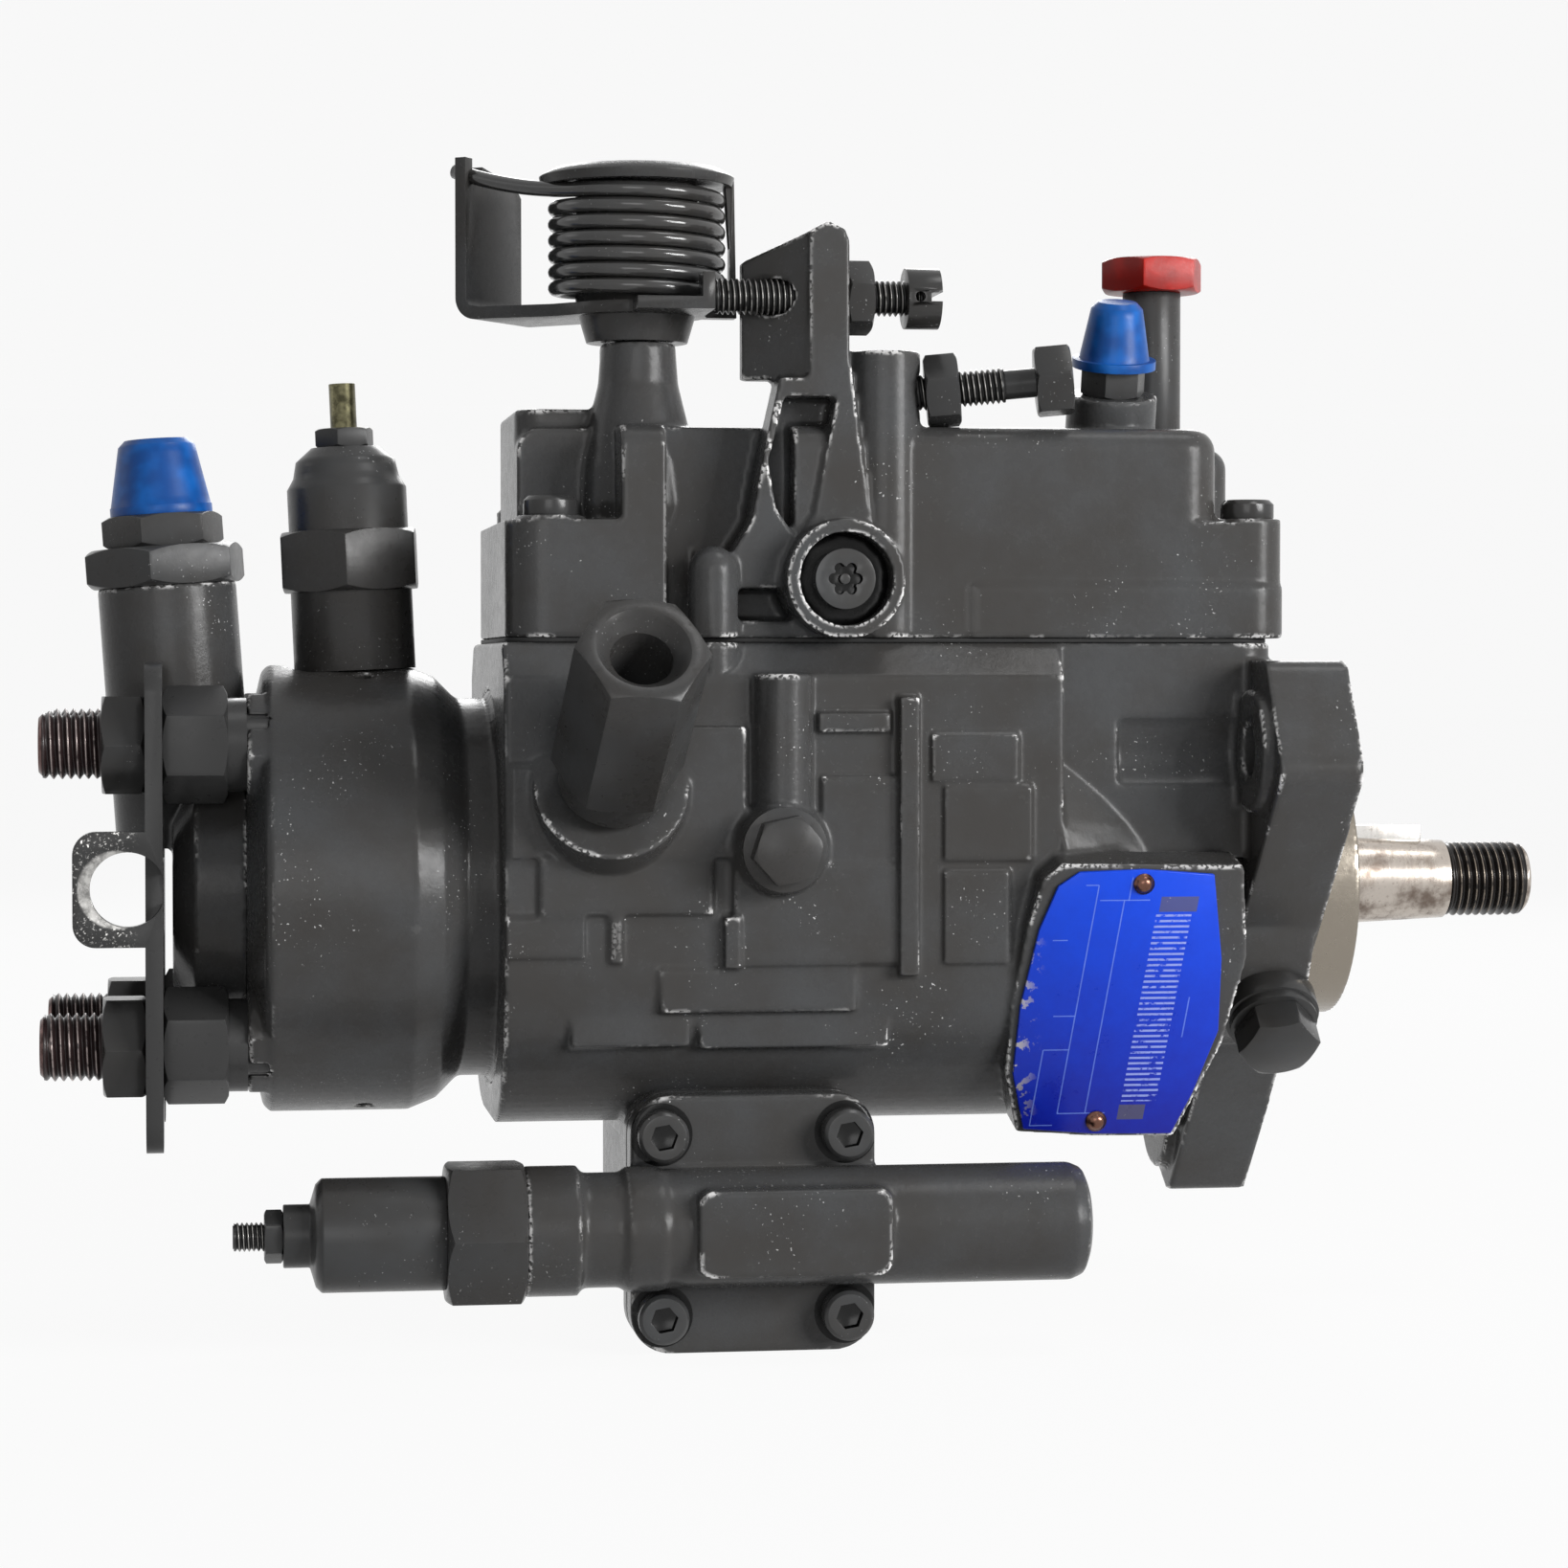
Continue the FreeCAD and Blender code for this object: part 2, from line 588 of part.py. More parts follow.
def governor_cover():
    foot = SPLIT_Z + GASKET_T
    ledge = rounded(box(COVER_REAR, COVER_FRONT, -COVER_HALF, COVER_HALF, foot, LEDGE_Z), 7.0, along(UP))
    top = rounded(box(TOP_REAR, TOP_FRONT, -COVER_HALF, TOP_FAR, foot, TOP_Z), 7.0, along(UP))
    top = rounded(top, 4.0, lambda e: e.BoundBox.ZMin > TOP_Z - 0.01)
    hump = rounded(box(TOP_REAR, -128, -18, TOP_FAR - 1, LEDGE_Z, TOP_Z + 3.5), 5.0, along(UP))
    far_top = box(TOP_FRONT - 12, TOP_FRONT + FAR_TOP_REACH, 0, TOP_FAR - 4, foot, TOP_Z - 1.5)
    far_top = rounded(far_top, 5.0, along(UP))
    far_top = rounded(far_top, 4.0, lambda e: e.BoundBox.ZMin > TOP_Z - 1.6)
    band = rounded(box(BAND_REAR, COVER_FRONT + 0.4, -COVER_HALF - BAND_T, 0, foot, BAND_Z), 7.0, along(UP))
    shell = ledge.multiFuse([top, hump, far_top, band])
    shell = shell.cut(box(-120, -97.5, -COVER_HALF - 1, -26, foot + 3, TOP_Z + 1))
    groove_x = IDLE_TOWER_X - IDLE_TOWER_R - 1.8
    groove_y = -COVER_HALF - 1
    shell = shell.cut(rod(2.6, (groove_x, groove_y, LEDGE_Z + 1), (groove_x, groove_y, TOP_Z + 1)))
    shell = shell.cut(box(COVER_REAR - 1, -128, -COVER_HALF - 1, -20, LEDGE_Z, TOP_Z + 5))
    boss_top = (THROTTLE_X, THROTTLE_Y, THROTTLE_BOSS_TOP)
    throttle_boss = rod(THROTTLE_BOSS_R, (THROTTLE_X, THROTTLE_Y, LEDGE_Z), boss_top)
    swell = [(3.0, LEDGE_Z - 11), (7.0, LEDGE_Z - 8), (9.8, LEDGE_Z - 3), (10.8, LEDGE_Z + 3),
             (10.4, LEDGE_Z + 10), (8.8, TOP_Z + 1.5), (7.2, TOP_Z + 8), (THROTTLE_BOSS_R, THROTTLE_BOSS_TOP)]
    flare = turned(swell, (THROTTLE_X, THROTTLE_Y - 2, 0))
    tower = rod(IDLE_TOWER_R, (IDLE_TOWER_X, IDLE_TOWER_Y, 0), (IDLE_TOWER_X, IDLE_TOWER_Y, IDLE_TOWER_TOP))
    torx_boss = rod(TORX_BOSS_R, (TORX_X, -26, TORX_Z), (TORX_X, -COVER_HALF - 7, TORX_Z))
    half_round = rod(4.4, (-112, -RIM_HALF - 1.0, foot), (-112, -RIM_HALF - 1.0, LEDGE_Z - 9))
    half_round = half_round.fuse(Part.makeSphere(4.4, V(-112, -RIM_HALF - 1.0, LEDGE_Z - 9)))
    leak_foot = rod(8.2, (LEAK_X, LEAK_Y, TOP_Z - 6), leak_axis()[0])
    screw_bosses = [rod(6.0, (x, y, foot), (x, y, LEDGE_Z + 0.8)) for x, y in cover_screw_places()]
    raised = [throttle_boss, flare, tower, torx_boss, half_round, leak_foot, post_and_ribs()]
    shell = shell.multiFuse(raised + screw_bosses)
    w = COVER_WALL
    near = -COVER_HALF + ROOM_NEAR
    low_front = COVER_FRONT - w - 11
    low_room = box(COVER_REAR + w + 3, low_front, near + w, COVER_HALF - w - 8, foot - 1, LEDGE_Z - w)
    high_room = box(THROTTLE_X - 1, TOP_FRONT - w - 1, near + w, TOP_FAR - w, foot - 1, TOP_Z - w)
    link_room = box(METER_X - 4, THROTTLE_X + 3, near + w + 5, TOP_FAR - w, foot - 1, TOP_Z - w)
    cuts = [
        low_room, high_room, link_room, box(COVER_REAR - 50, 0, -BODY_HALF - 19, BODY_HALF + 19, 0, foot),
        rod(THROTTLE_R + RUNNING, (THROTTLE_X, THROTTLE_Y, foot), (THROTTLE_X, THROTTLE_Y, LEVER_Z)),
        rod(TORX_RECESS_R, (TORX_X, -COVER_HALF - 1, TORX_Z), (TORX_X, -COVER_HALF - 8, TORX_Z)),
        rod(3.0, (TORX_X, -28, TORX_Z), (TORX_X, -COVER_HALF - 2, TORX_Z)),
        rod(STOP_R, (POST_REAR - 8, STOP_Y, STOP_Z), (POST_FRONT + 8, STOP_Y, STOP_Z)),
        idle_bore(), leak_bore(),
        rod(3.5, (RETURN_X, 0, TOP_Z - 8), (RETURN_X, 0, TOP_Z + 1)),
    ]
    cuts += [rod(COVER_SCREW_R, (x, y, foot - 1), (x, y, LEDGE_Z + 2)) for x, y in cover_screw_places()]
    return shell.cut(Part.makeCompound(cuts)).removeSplitter()


def cover_screw_places():
    return [(x, y) for x in (COVER_SCREW_REAR, COVER_SCREW_FRONT) for y in (-COVER_SCREW_Y, COVER_SCREW_Y)]


def idle_axis():
    """Start of the idle screw at its seat on the tower, and its direction towards the head."""
    return V(IDLE_TOWER_X + IDLE_TOWER_R - 0.5, IDLE_TOWER_Y - 0.5, IDLE_Z), V(1.0, -0.16, 0.09).normalize()


def idle_bore():
    seat, direction = idle_axis()
    return rod(IDLE_R, seat - direction * 9, seat + direction * 2)


def leak_bore():
    start = leaning(LEAK_X, LEAK_Y, TOP_Z - 6, -3, 0, LEAK_LEAN)
    return rod(3.5, start, leaning(LEAK_X, LEAK_Y, TOP_Z - 6, LEAK_FOOT + 1, 0, LEAK_LEAN))


def cover_gasket():
    sheet = box(COVER_REAR, RIM_FRONT - 0.5, -RIM_HALF, RIM_HALF, SPLIT_Z, SPLIT_Z + GASKET_T)
    sheet = rounded(sheet, 6.5, along(UP))
    hole = box(COVER_REAR + 9, CHAMBER_FRONT + 14, -WINDOW_HALF, WINDOW_HALF, SPLIT_Z - 1, SPLIT_Z + 2)
    screws = [rod(COVER_SCREW_R, (x, y, SPLIT_Z - 1), (x, y, SPLIT_Z + 2)) for x, y in cover_screw_places()]
    return sheet.cut(Part.makeCompound([hole] + screws))


def cover_screws():
    """Four cap screws with a slotted cheese head."""
    screws = []
    seat = LEDGE_Z + 0.8
    head_edge = [(COVER_SCREW_HEAD_R, 0), (COVER_SCREW_HEAD_R, 2.6), (COVER_SCREW_HEAD_R - 0.8, 3.4)]
    for x, y in cover_screw_places():
        screw = rod(COVER_SCREW_R, (x, y, SPLIT_Z + GASKET_T), (x, y, seat))
        head = turned(head_edge, (x, y, seat))
        slot = box(x - 6, x + 6, y - 0.6, y + 0.6, seat + 2.0, seat + 4)
        screws.append(screw.fuse(head).cut(slot))
    return Part.makeCompound(screws)


def drive_shaft():
    nose = THREAD_LENGTH + TAPER_LENGTH + SPIGOT_LENGTH
    profile = [
        (SPLINE_R, ROTOR_HEAD_FRONT + FREE), (SPLINE_R, SLEEVE_END - 4), (JOURNAL_R, SLEEVE_END - 4),
        (JOURNAL_R, SPIGOT_LENGTH), (TAPER_BIG_R, SPIGOT_LENGTH),
        (TAPER_SMALL_R, SPIGOT_LENGTH + TAPER_LENGTH),
        (THREAD_R, SPIGOT_LENGTH + TAPER_LENGTH), (THREAD_R, nose - 1.2), (THREAD_R - 1.2, nose),
    ]
    return turned(profile, (0, 0, 0), (1, 0, 0)).cut(drive_key())


def drive_key():
    """A half-moon key let into the taper, which takes the drive gear's slot."""
    x0 = SPIGOT_LENGTH + 0.5
    top = TAPER_BIG_R + KEY_PROUD - 0.4
    return box(x0, x0 + KEY_LENGTH, -KEY_WIDTH / 2, KEY_WIDTH / 2, top - KEY_HEIGHT, top)


def shaft_bush():
    return shaft_ring(BUSH_R, JOURNAL_R + RUNNING, CHAMBER_FRONT + 4, SPIGOT_LENGTH - SEAL_WIDTH)


def shaft_seal():
    seal = shaft_ring(SEAL_R, JOURNAL_R + RUNNING, SPIGOT_LENGTH - SEAL_WIDTH, SPIGOT_LENGTH - 1)
    return seal.cut(shaft_ring(SEAL_R - 2.5, JOURNAL_R + 1.5, SPIGOT_LENGTH - 3, SPIGOT_LENGTH))


def pivot_pin():
    length = WEIGHT_HALF + CAGE_EAR_T + 0.5
    return rod(PIVOT_PIN_R, (PIVOT_X, -length, PIVOT_R), (PIVOT_X, length, PIVOT_R))


def weight_cage():
    """Back plate on the shaft, with a pair of ears for each weight."""
    cage = shaft_ring(CAGE_R, JOURNAL_R, CAGE_BACK - CAGE_T, CAGE_BACK)
    for i in range(WEIGHTS):
        for side in (-1, 1):
            y = side * (WEIGHT_HALF + FREE + CAGE_EAR_T / 2)
            half = CAGE_EAR_T / 2
            ear = box(PIVOT_X - 4, CAGE_BACK - 1, y - half, y + half, PIVOT_R - 4, PIVOT_R + 4)
            cage = cage.fuse(turned_about_x(ear, 360 / WEIGHTS * i))
    hole = rod(PIVOT_PIN_R + RUNNING, (PIVOT_X, -20, PIVOT_R), (PIVOT_X, 20, PIVOT_R))
    pins = [turned_about_x(hole, 360 / WEIGHTS * i) for i in range(WEIGHTS)]
    return cage.cut(Part.makeCompound(pins))


def governor_weight(i):
    """A cast weight that swings out on its pin; its rounded toe pushes the thrust sleeve back."""
    block_front = PIVOT_X - 2.5
    block_rear = block_front - WEIGHT_LENGTH
    block = box(block_rear, block_front, -WEIGHT_HALF, WEIGHT_HALF, WEIGHT_INNER_R + 1, WEIGHT_OUTER_R + 4)
    block = block.common(rod(WEIGHT_OUTER_R, (PIVOT_X - 40, 0, 0), (0, 0, 0)))
    knuckle = rod(2.8, (PIVOT_X, -WEIGHT_HALF, PIVOT_R), (PIVOT_X, WEIGHT_HALF, PIVOT_R))
    neck = box(block_front - 1, PIVOT_X, -WEIGHT_HALF, WEIGHT_HALF, PIVOT_R - 2.2, PIVOT_R + 2.2)
    toe_z = PIVOT_R - TOE_REACH
    finger = box(PIVOT_X - 1.4, PIVOT_X + 1.4, -3.5, 3.5, toe_z, PIVOT_R)
    toe = rod(TOE_R, (PIVOT_X, -3.5, toe_z), (PIVOT_X, 3.5, toe_z))
    weight = block.multiFuse([knuckle, neck, finger, toe, pivot_pin()])
    return turned_about_x(weight.removeSplitter(), 360 / WEIGHTS * i)


def thrust_sleeve():
    front = PIVOT_X - TOE_R - FREE
    sleeve = shaft_ring(SLEEVE_R, JOURNAL_R + RUNNING, SLEEVE_END, front)
    collar = shaft_ring(COLLAR_R, JOURNAL_R + RUNNING, SLEEVE_END, SLEEVE_END + COLLAR_T)
    return sleeve.fuse(collar).removeSplitter()


def governor_arm():
    """A forked arm: the fork rides on the sleeve's collar and the upper end pulls the linkage."""
    rear = ARM_FRONT - ARM_T
    plate = box(rear, ARM_FRONT, -16, 16, -3, ARM_PIVOT_Z - 1)
    plate = plate.cut(box(rear - 1, ARM_FRONT + 1, -11, 11, -4, 18))
    pads = [box(ARM_FRONT - 1, SLEEVE_END - FREE, y, y + 3, -2.5, 2.5) for y in (-15, 12)]
    blade = [(-7, ARM_PIVOT_Z - 3), (7, ARM_PIVOT_Z - 3), (14, LINK_Z), (14, LINK_Z + 5),
             (-3, ARM_TOP_Z), (-12, ARM_TOP_Z), (-12, ARM_TOP_Z - 6)]
    upper = outline(blade, (rear, ARM_T), "x")
    pin = rod(ARM_PIN_R, (ARM_X, -20, ARM_PIVOT_Z), (ARM_X, 20, ARM_PIVOT_Z))
    knuckle = rod(4.2, (ARM_X, -14, ARM_PIVOT_Z), (ARM_X, 14, ARM_PIVOT_Z))
    arm = plate.multiFuse([upper, pin, knuckle] + pads)
    link_hole = rod(LINK_HALF * 2, (rear - 2, LINK_Y, LINK_Z), (ARM_FRONT + 2, LINK_Y, LINK_Z))
    return arm.cut(link_hole).removeSplitter()


def governor_bracket():
    """A pressed bracket across the housing's window that holds the arm's pivot pin."""
    ears = []
    for side in (-1, 1):
        y0, y1 = sorted((side * 17.0, side * WINDOW_HALF))
        ear = box(ARM_X - 5, ARM_X + 5, y0, y1, ARM_PIVOT_Z - 5, SPLIT_Z)
        hole = rod(ARM_PIN_R + RUNNING, (ARM_X, y0 - 1, ARM_PIVOT_Z), (ARM_X, y1 + 1, ARM_PIVOT_Z))
        ears.append(ear.cut(hole))
        ears.append(box(ARM_X + 4, ARM_X + 7, y0, y1, SPLIT_Z - 2.5, SPLIT_Z))
    strip = box(ARM_X + 6, ARM_X + 12, -WINDOW_HALF, WINDOW_HALF, SPLIT_Z - 2.5, SPLIT_Z)
    return strip.multiFuse(ears).removeSplitter()


def governor_link():
    """The hooked strip from the arm to the metering valve's lever."""
    half = LINK_HALF
    rear = ARM_FRONT - ARM_T - 3
    high = LINK_Z + 3.6
    run = box(METER_X - half, rear + half, LINK_Y - half, LINK_Y + half, high - half, high + half)
    drop = box(rear - half, rear + half, LINK_Y - half, LINK_Y + half, LINK_Z - half, high)
    hook = box(rear - half, ARM_FRONT + 2.5, LINK_Y - half, LINK_Y + half, LINK_Z - half, LINK_Z + half)
    eye = box(METER_X - half, METER_X + half, LINK_Y - half, LINK_Y + half, LINK_Z - 2.5, high)
    return run.multiFuse([drop, hook, eye]).removeSplitter()


def metering_valve():
    """A turning valve in the head, with the lever that the governor link moves."""
    stem = rod(METER_R, (METER_X, METER_Y, 0.5), (METER_X, METER_Y, LINK_Z + 1.5))
    groove = box(METER_X - 1, METER_X + 1, METER_Y - METER_R - 1, METER_Y - METER_R + 1.2, 4, 12)
    lever = box(METER_X - METER_R, METER_X + METER_R, LINK_Y - 3.2, METER_Y, LINK_Z - 1, LINK_Z + 1)
    hole = rod(LINK_HALF * 2, (METER_X, LINK_Y, LINK_Z - 3), (METER_X, LINK_Y, LINK_Z + 3))
    return stem.cut(groove).fuse(lever).cut(hole).removeSplitter()


def cam_ring():
    """Four inward lobes, and the ball-ended pin through which the advance piston turns the ring."""
    x0 = CAM_X - CAM_LENGTH / 2
    x1 = CAM_X + CAM_LENGTH / 2
    r_out = CAM_BORE_R - RUNNING
    ring = shaft_ring(r_out, CAM_BASE_R, x0, x1)
    for i in range(LOBES):
        _, y, z = ring_point(CAM_PEAK_R + CAM_LOBE_R, 45 + 360 / LOBES * i)
        ring = ring.fuse(rod(CAM_LOBE_R, (x0, y, z), (x1, y, z)))
    ring = ring.common(rod(r_out, (x0, 0, 0), (x1, 0, 0)))
    pin = rod(CAM_PIN_R, (CAM_X, 0, -r_out + 4), (CAM_X, 0, -CAM_PIN_REACH))
    ball = Part.makeSphere(CAM_BALL_R, V(CAM_X, 0, -CAM_PIN_REACH))
    return ring.multiFuse([pin, ball]).removeSplitter()


def distributor_rotor():
    """The long ground rotor, and its head that carries the plungers across the axis."""
    rear = CAM_X - ROTOR_HEAD_HALF
    stem = rod(ROTOR_R, (LINER_FRONT, 0, 0), (rear, 0, 0))
    head = rod(ROTOR_HEAD_R, (rear, 0, 0), (ROTOR_HEAD_FRONT, 0, 0))
    rotor = stem.fuse(head)
    cuts = [rod(PLUNGER_R + RUNNING, (CAM_X, 0, -ROTOR_HEAD_R - 1), (CAM_X, 0, ROTOR_HEAD_R + 1))]
    for side in (-1, 1):
        z0, z1 = sorted((side * (SHOE_FOOT - 0.6), side * (ROTOR_HEAD_R + 2)))
        half = SHOE_WIDTH / 2 + 0.1
        length = ROLLER_LENGTH / 2 + FREE
        cuts.append(box(CAM_X - length, CAM_X + length, -half, half, z0, z1))
    port = rod(1.5, (-150, 0, 0), (-150, 0, ROTOR_R + 1))
    core = rod(1.5, (-170, 0, 0), (CAM_X, 0, 0))
    tongue = box(ROTOR_HEAD_FRONT, ROTOR_HEAD_FRONT + FREE, -6, 6, -3, 3)
    return rotor.cut(Part.makeCompound(cuts + [port, core])).fuse(tongue).removeSplitter()


def plunger_set(side):
    """One pumping plunger with its shoe and roller, as three separate solids."""
    foot = SHOE_FOOT - PLUNGER_LENGTH
    plunger = rod(PLUNGER_R, (CAM_X, 0, foot), (CAM_X, 0, SHOE_FOOT))
    half = ROLLER_LENGTH / 2
    shoe = box(CAM_X - half, CAM_X + half, -SHOE_WIDTH / 2, SHOE_WIDTH / 2, SHOE_FOOT, ROLLER_AT + 1)
    roller = rod(ROLLER_R, (CAM_X - half, 0, ROLLER_AT), (CAM_X + half, 0, ROLLER_AT))
    group = Part.makeCompound([plunger, shoe.cut(roller), roller])
    return turned_about_x(group, 0 if side > 0 else 180)


def hydraulic_head():
    """The head: a plug in the housing's bore, a shoulder, the wide collar and the outlet bosses."""
    plug = rod(HEAD_INNER_R, (BODY_REAR, 0, 0), (HEAD_FRONT, 0, 0))
    profile = [
        (OUTLET_Z, COLLAR_REAR - 3), (HEAD_COLLAR_R - 1.2, COLLAR_REAR), (HEAD_COLLAR_R, COLLAR_REAR + 1.2),
        (HEAD_COLLAR_R, COLLAR_FRONT - 1), (HEAD_SHOULDER_R + 1.5, COLLAR_FRONT + 4),
        (HEAD_SHOULDER_R - 2.5, COLLAR_FRONT + 8), (HEAD_SHOULDER_R - 2.5, BODY_REAR),
    ]
    outer = turned(profile, (0, 0, 0), (1, 0, 0))
    rim = rod(HEAD_COLLAR_R - 0.5, (COLLAR_REAR - 3, 0, 0), (COLLAR_REAR + 2, 0, 0))
    bosses = [rod(OUTLET_BOSS_R, (COLLAR_REAR - 3, y, z), (COLLAR_REAR + 2, y, z)).common(rim)
              for y, z in outlet_places()]
    head = outer.multiFuse([plug] + bosses)
    seat, up = solenoid_axis()
    cuts = [
        rod(HYD_SLEEVE_R, (END_REAR, 0, 0), (0, 0, 0)),
        rod(METER_R + RUNNING, (METER_X, METER_Y, 0), (METER_X, METER_Y, HEAD_COLLAR_R)),
        rod(6.0, seat - up * 27, seat + up * 6),
        rod(SOL_R + 2, seat, seat + up * 9),
    ]
    for y, z in outlet_places():
        cuts.append(rod(OUTLET_STUD_R, (COLLAR_REAR - 4, y, z), (COLLAR_REAR + 8, y, z)))
    for z in (HEAD_COLLAR_R, -HEAD_COLLAR_R):
        step = 1 if z > 0 else -1
        spot = V(COLLAR_FRONT - 9, -12, step * math.sqrt(HEAD_COLLAR_R ** 2 - 144))
        cuts.append(rod(1.4, spot * 1.0 - V(0, -3, step * 6), spot + V(0, -3, step * 6)))
    return head.cut(Part.makeCompound(cuts)).removeSplitter()


def outlet_places():
    return [(y, z) for y in (-OUTLET_Y, OUTLET_Y) for z in (OUTLET_Z, -OUTLET_Z)]


def hydraulic_sleeve():
    sleeve = shaft_ring(HYD_SLEEVE_R, ROTOR_R + RUNNING, LINER_FRONT, HEAD_FRONT)
    return sleeve.cut(rod(1.5, (-150, 0, 0), (-150, 0, 20)))


def transfer_liner():
    """The eccentric ring in which the feed pump's blades run."""
    liner = rod(LINER_R, (LINER_REAR, 0, 0), (LINER_FRONT - 3, 0, 0))
    return liner.cut(rod(LINER_BORE_R, (LINER_REAR - 1, 0, LINER_OFFSET), (LINER_FRONT, 0, LINER_OFFSET)))


def transfer_rotor():
    """The feed pump's small rotor, with its two crossed blades as separate solids."""
    r = LINER_BORE_R - LINER_OFFSET - 0.2
    x0 = LINER_REAR + 0.1
    x1 = LINER_FRONT - 3 - 0.1
    rotor = rod(r, (x0, 0, 0), (x1, 0, 0)).fuse(rod(4.0, (x1, 0, 0), (LINER_FRONT, 0, 0)))
    across = box(x0 - 1, x1, -VANE_T / 2, VANE_T / 2, -r - 1, r + 1)
    rotor = rotor.cut(across)
    blade = box(x0, x1 - 0.1, -VANE_T / 2 + 0.02, VANE_T / 2 - 0.02, -r + 0.1, r - 0.1)
    return Part.makeCompound(list(rotor.Solids) + [blade])


def inlet_top(length):
    return leaning(INLET_X, 0, 0, length, INLET_LEAN)


def end_plate():
    """The cover of the feed pump at the rear, with the upright boss of the fuel inlet."""
    front = COLLAR_REAR - 3
    plate = turned([(END_R - 6, END_REAR), (END_R, END_REAR + 4), (END_R, front)], (0, 0, 0), (1, 0, 0))
    boss = rod(INLET_R, inlet_top(8), inlet_top(INLET_BASE_Z))
    boss = boss.cut(box(front, 0, -END_R, END_R, 0, INLET_CAP_TOP))
    plate = plate.fuse(boss)
    cuts = [
        rod(LINER_R, (LINER_REAR, 0, 0), (front + 1, 0, 0)),
        rod(7.0, inlet_top(LINER_R + 4), inlet_top(INLET_BASE_Z + 1)),
        box(front, 0, -HEAD_COLLAR_R, HEAD_COLLAR_R, -HEAD_COLLAR_R, INLET_CAP_TOP),
    ]
    return plate.cut(Part.makeCompound(cuts)).removeSplitter()


def outlet_unions():
    """Four unions: a foot screwed into the head, a hexagon, and the thread for the injector pipe."""
    unions = []
    for y, z in outlet_places():
        foot = COLLAR_REAR - 3
        stud = rod(OUTLET_STUD_R, (foot, y, z), (foot + 8, y, z))
        collar = rod(8.2, (foot - 3.3, y, z), (foot, y, z))
        nut_start = KEEPER_X + KEEPER_T
        nut = hexagon(UNION_HEX_AF, foot - 3.3 - nut_start, (nut_start, y, z), (1, 0, 0), 0)
        stem = rod(OUTLET_STEM_R, (KEEPER_X - OUTLET_NUT_T, y, z), (KEEPER_X + KEEPER_T, y, z))
        neck = rod(OUTLET_THREAD_R, (OUTLET_TIP + 1.2, y, z), (KEEPER_X, y, z))
        tip = cone(OUTLET_THREAD_R - 1.2, OUTLET_THREAD_R, (OUTLET_TIP, y, z), (OUTLET_TIP + 1.2, y, z))
        union = stud.multiFuse([collar, nut, stem, neck, tip])
        seat = cone(4.2, 1.2, (OUTLET_TIP, y, z), (OUTLET_TIP + 4.5, y, z))
        hole = rod(1.2, (OUTLET_TIP, y, z), (foot + 9, y, z))
        unions.append(union.cut(Part.makeCompound([seat.fuse(hole)])).removeSplitter())
    return Part.makeCompound(unions)


def outlet_nuts():
    nuts = []
    for y, z in outlet_places():
        x0 = KEEPER_X - OUTLET_NUT_T
        nut = hexagon(OUTLET_NUT_AF, OUTLET_NUT_T, (x0, y, z), (1, 0, 0), 30)
        nuts.append(nut.cut(rod(OUTLET_STEM_R, (x0 - 1, y, z), (KEEPER_X + 1, y, z))))
    return Part.makeCompound(nuts)


def keeper_plate():
    """A strip that locks each pair of outlets, with an eye bent out of the near one's edge."""
    strips = []
    for side in (-1, 1):
        inner = side * KEEPER_INNER
        outer = side * KEEPER_OUTER
        y0, y1 = sorted((inner, outer))
        strip = box(KEEPER_X, KEEPER_X + KEEPER_T, y0, y1, KEEPER_BOTTOM, KEEPER_TOP)
        strip = rounded(strip, 6.0, along(ALONG))
        y = side * OUTLET_Y
        for z in (OUTLET_Z, -OUTLET_Z):
            strip = strip.cut(rod(OUTLET_STEM_R, (KEEPER_X - 1, y, z), (KEEPER_X + 9, y, z)))
        if side < 0:
            tab = box(EYE_REAR, KEEPER_X + KEEPER_T, y0, y0 + KEEPER_T, EYE_Z - EYE_HALF, EYE_Z + EYE_HALF)
            tab = rounded(tab, 4.0, lambda e: along(NEAR)(e) and e.BoundBox.XMax < EYE_REAR + 1)
            hole = rod(EYE_HOLE_R, (KEEPER_X - 3, y0 - 1, EYE_Z), (KEEPER_X - 3, y0 + KEEPER_T, EYE_Z))
            strip = strip.fuse(tab).cut(hole)
        strips.append(strip.removeSplitter())
    bar = box(KEEPER_X, KEEPER_X + KEEPER_T, -KEEPER_INNER, KEEPER_INNER, -8, 5)
    return strips[0].multiFuse([strips[1], bar]).removeSplitter()


def inlet_connector():
    """The fuel inlet: a long hexagon, a smaller one and the union under the cap."""
    base = inlet_top(INLET_BASE_Z)
    direction = inlet_top(1)
    direction = (direction - inlet_top(0)).normalize()
    big = hexagon(INLET_HEX_AF, INLET_BIG_T, base, direction, 20)
    small = hexagon(INLET_SMALL_AF, INLET_SMALL_T, base + direction * INLET_BIG_T, direction, 10)
    seat = base + direction * (INLET_BIG_T + INLET_SMALL_T)
    neck = rod(INLET_NECK_R, seat, seat + direction * 11)
    foot = rod(7.0, base - direction * 12, base)
    bore = rod(4.0, base - direction * 13, base + direction * 25)
    return big.multiFuse([small, neck, foot]).cut(bore).removeSplitter()


def cap_shape(base, direction, foot_r, top_r, height, bore_r, brim=1.2):
    """A moulded dust cap: a brim, a tapered thimble and a closed top."""
    edge = [(foot_r + brim, 0), (foot_r + brim, 1.6), (foot_r, 1.6),
            (top_r, height - 1.2), (top_r - 1.2, height)]
    cap = turned(edge)
    cap = cap.cut(rod(bore_r, (0, 0, -1), (0, 0, height - 2.2)))
    return placed(cap, base, direction)


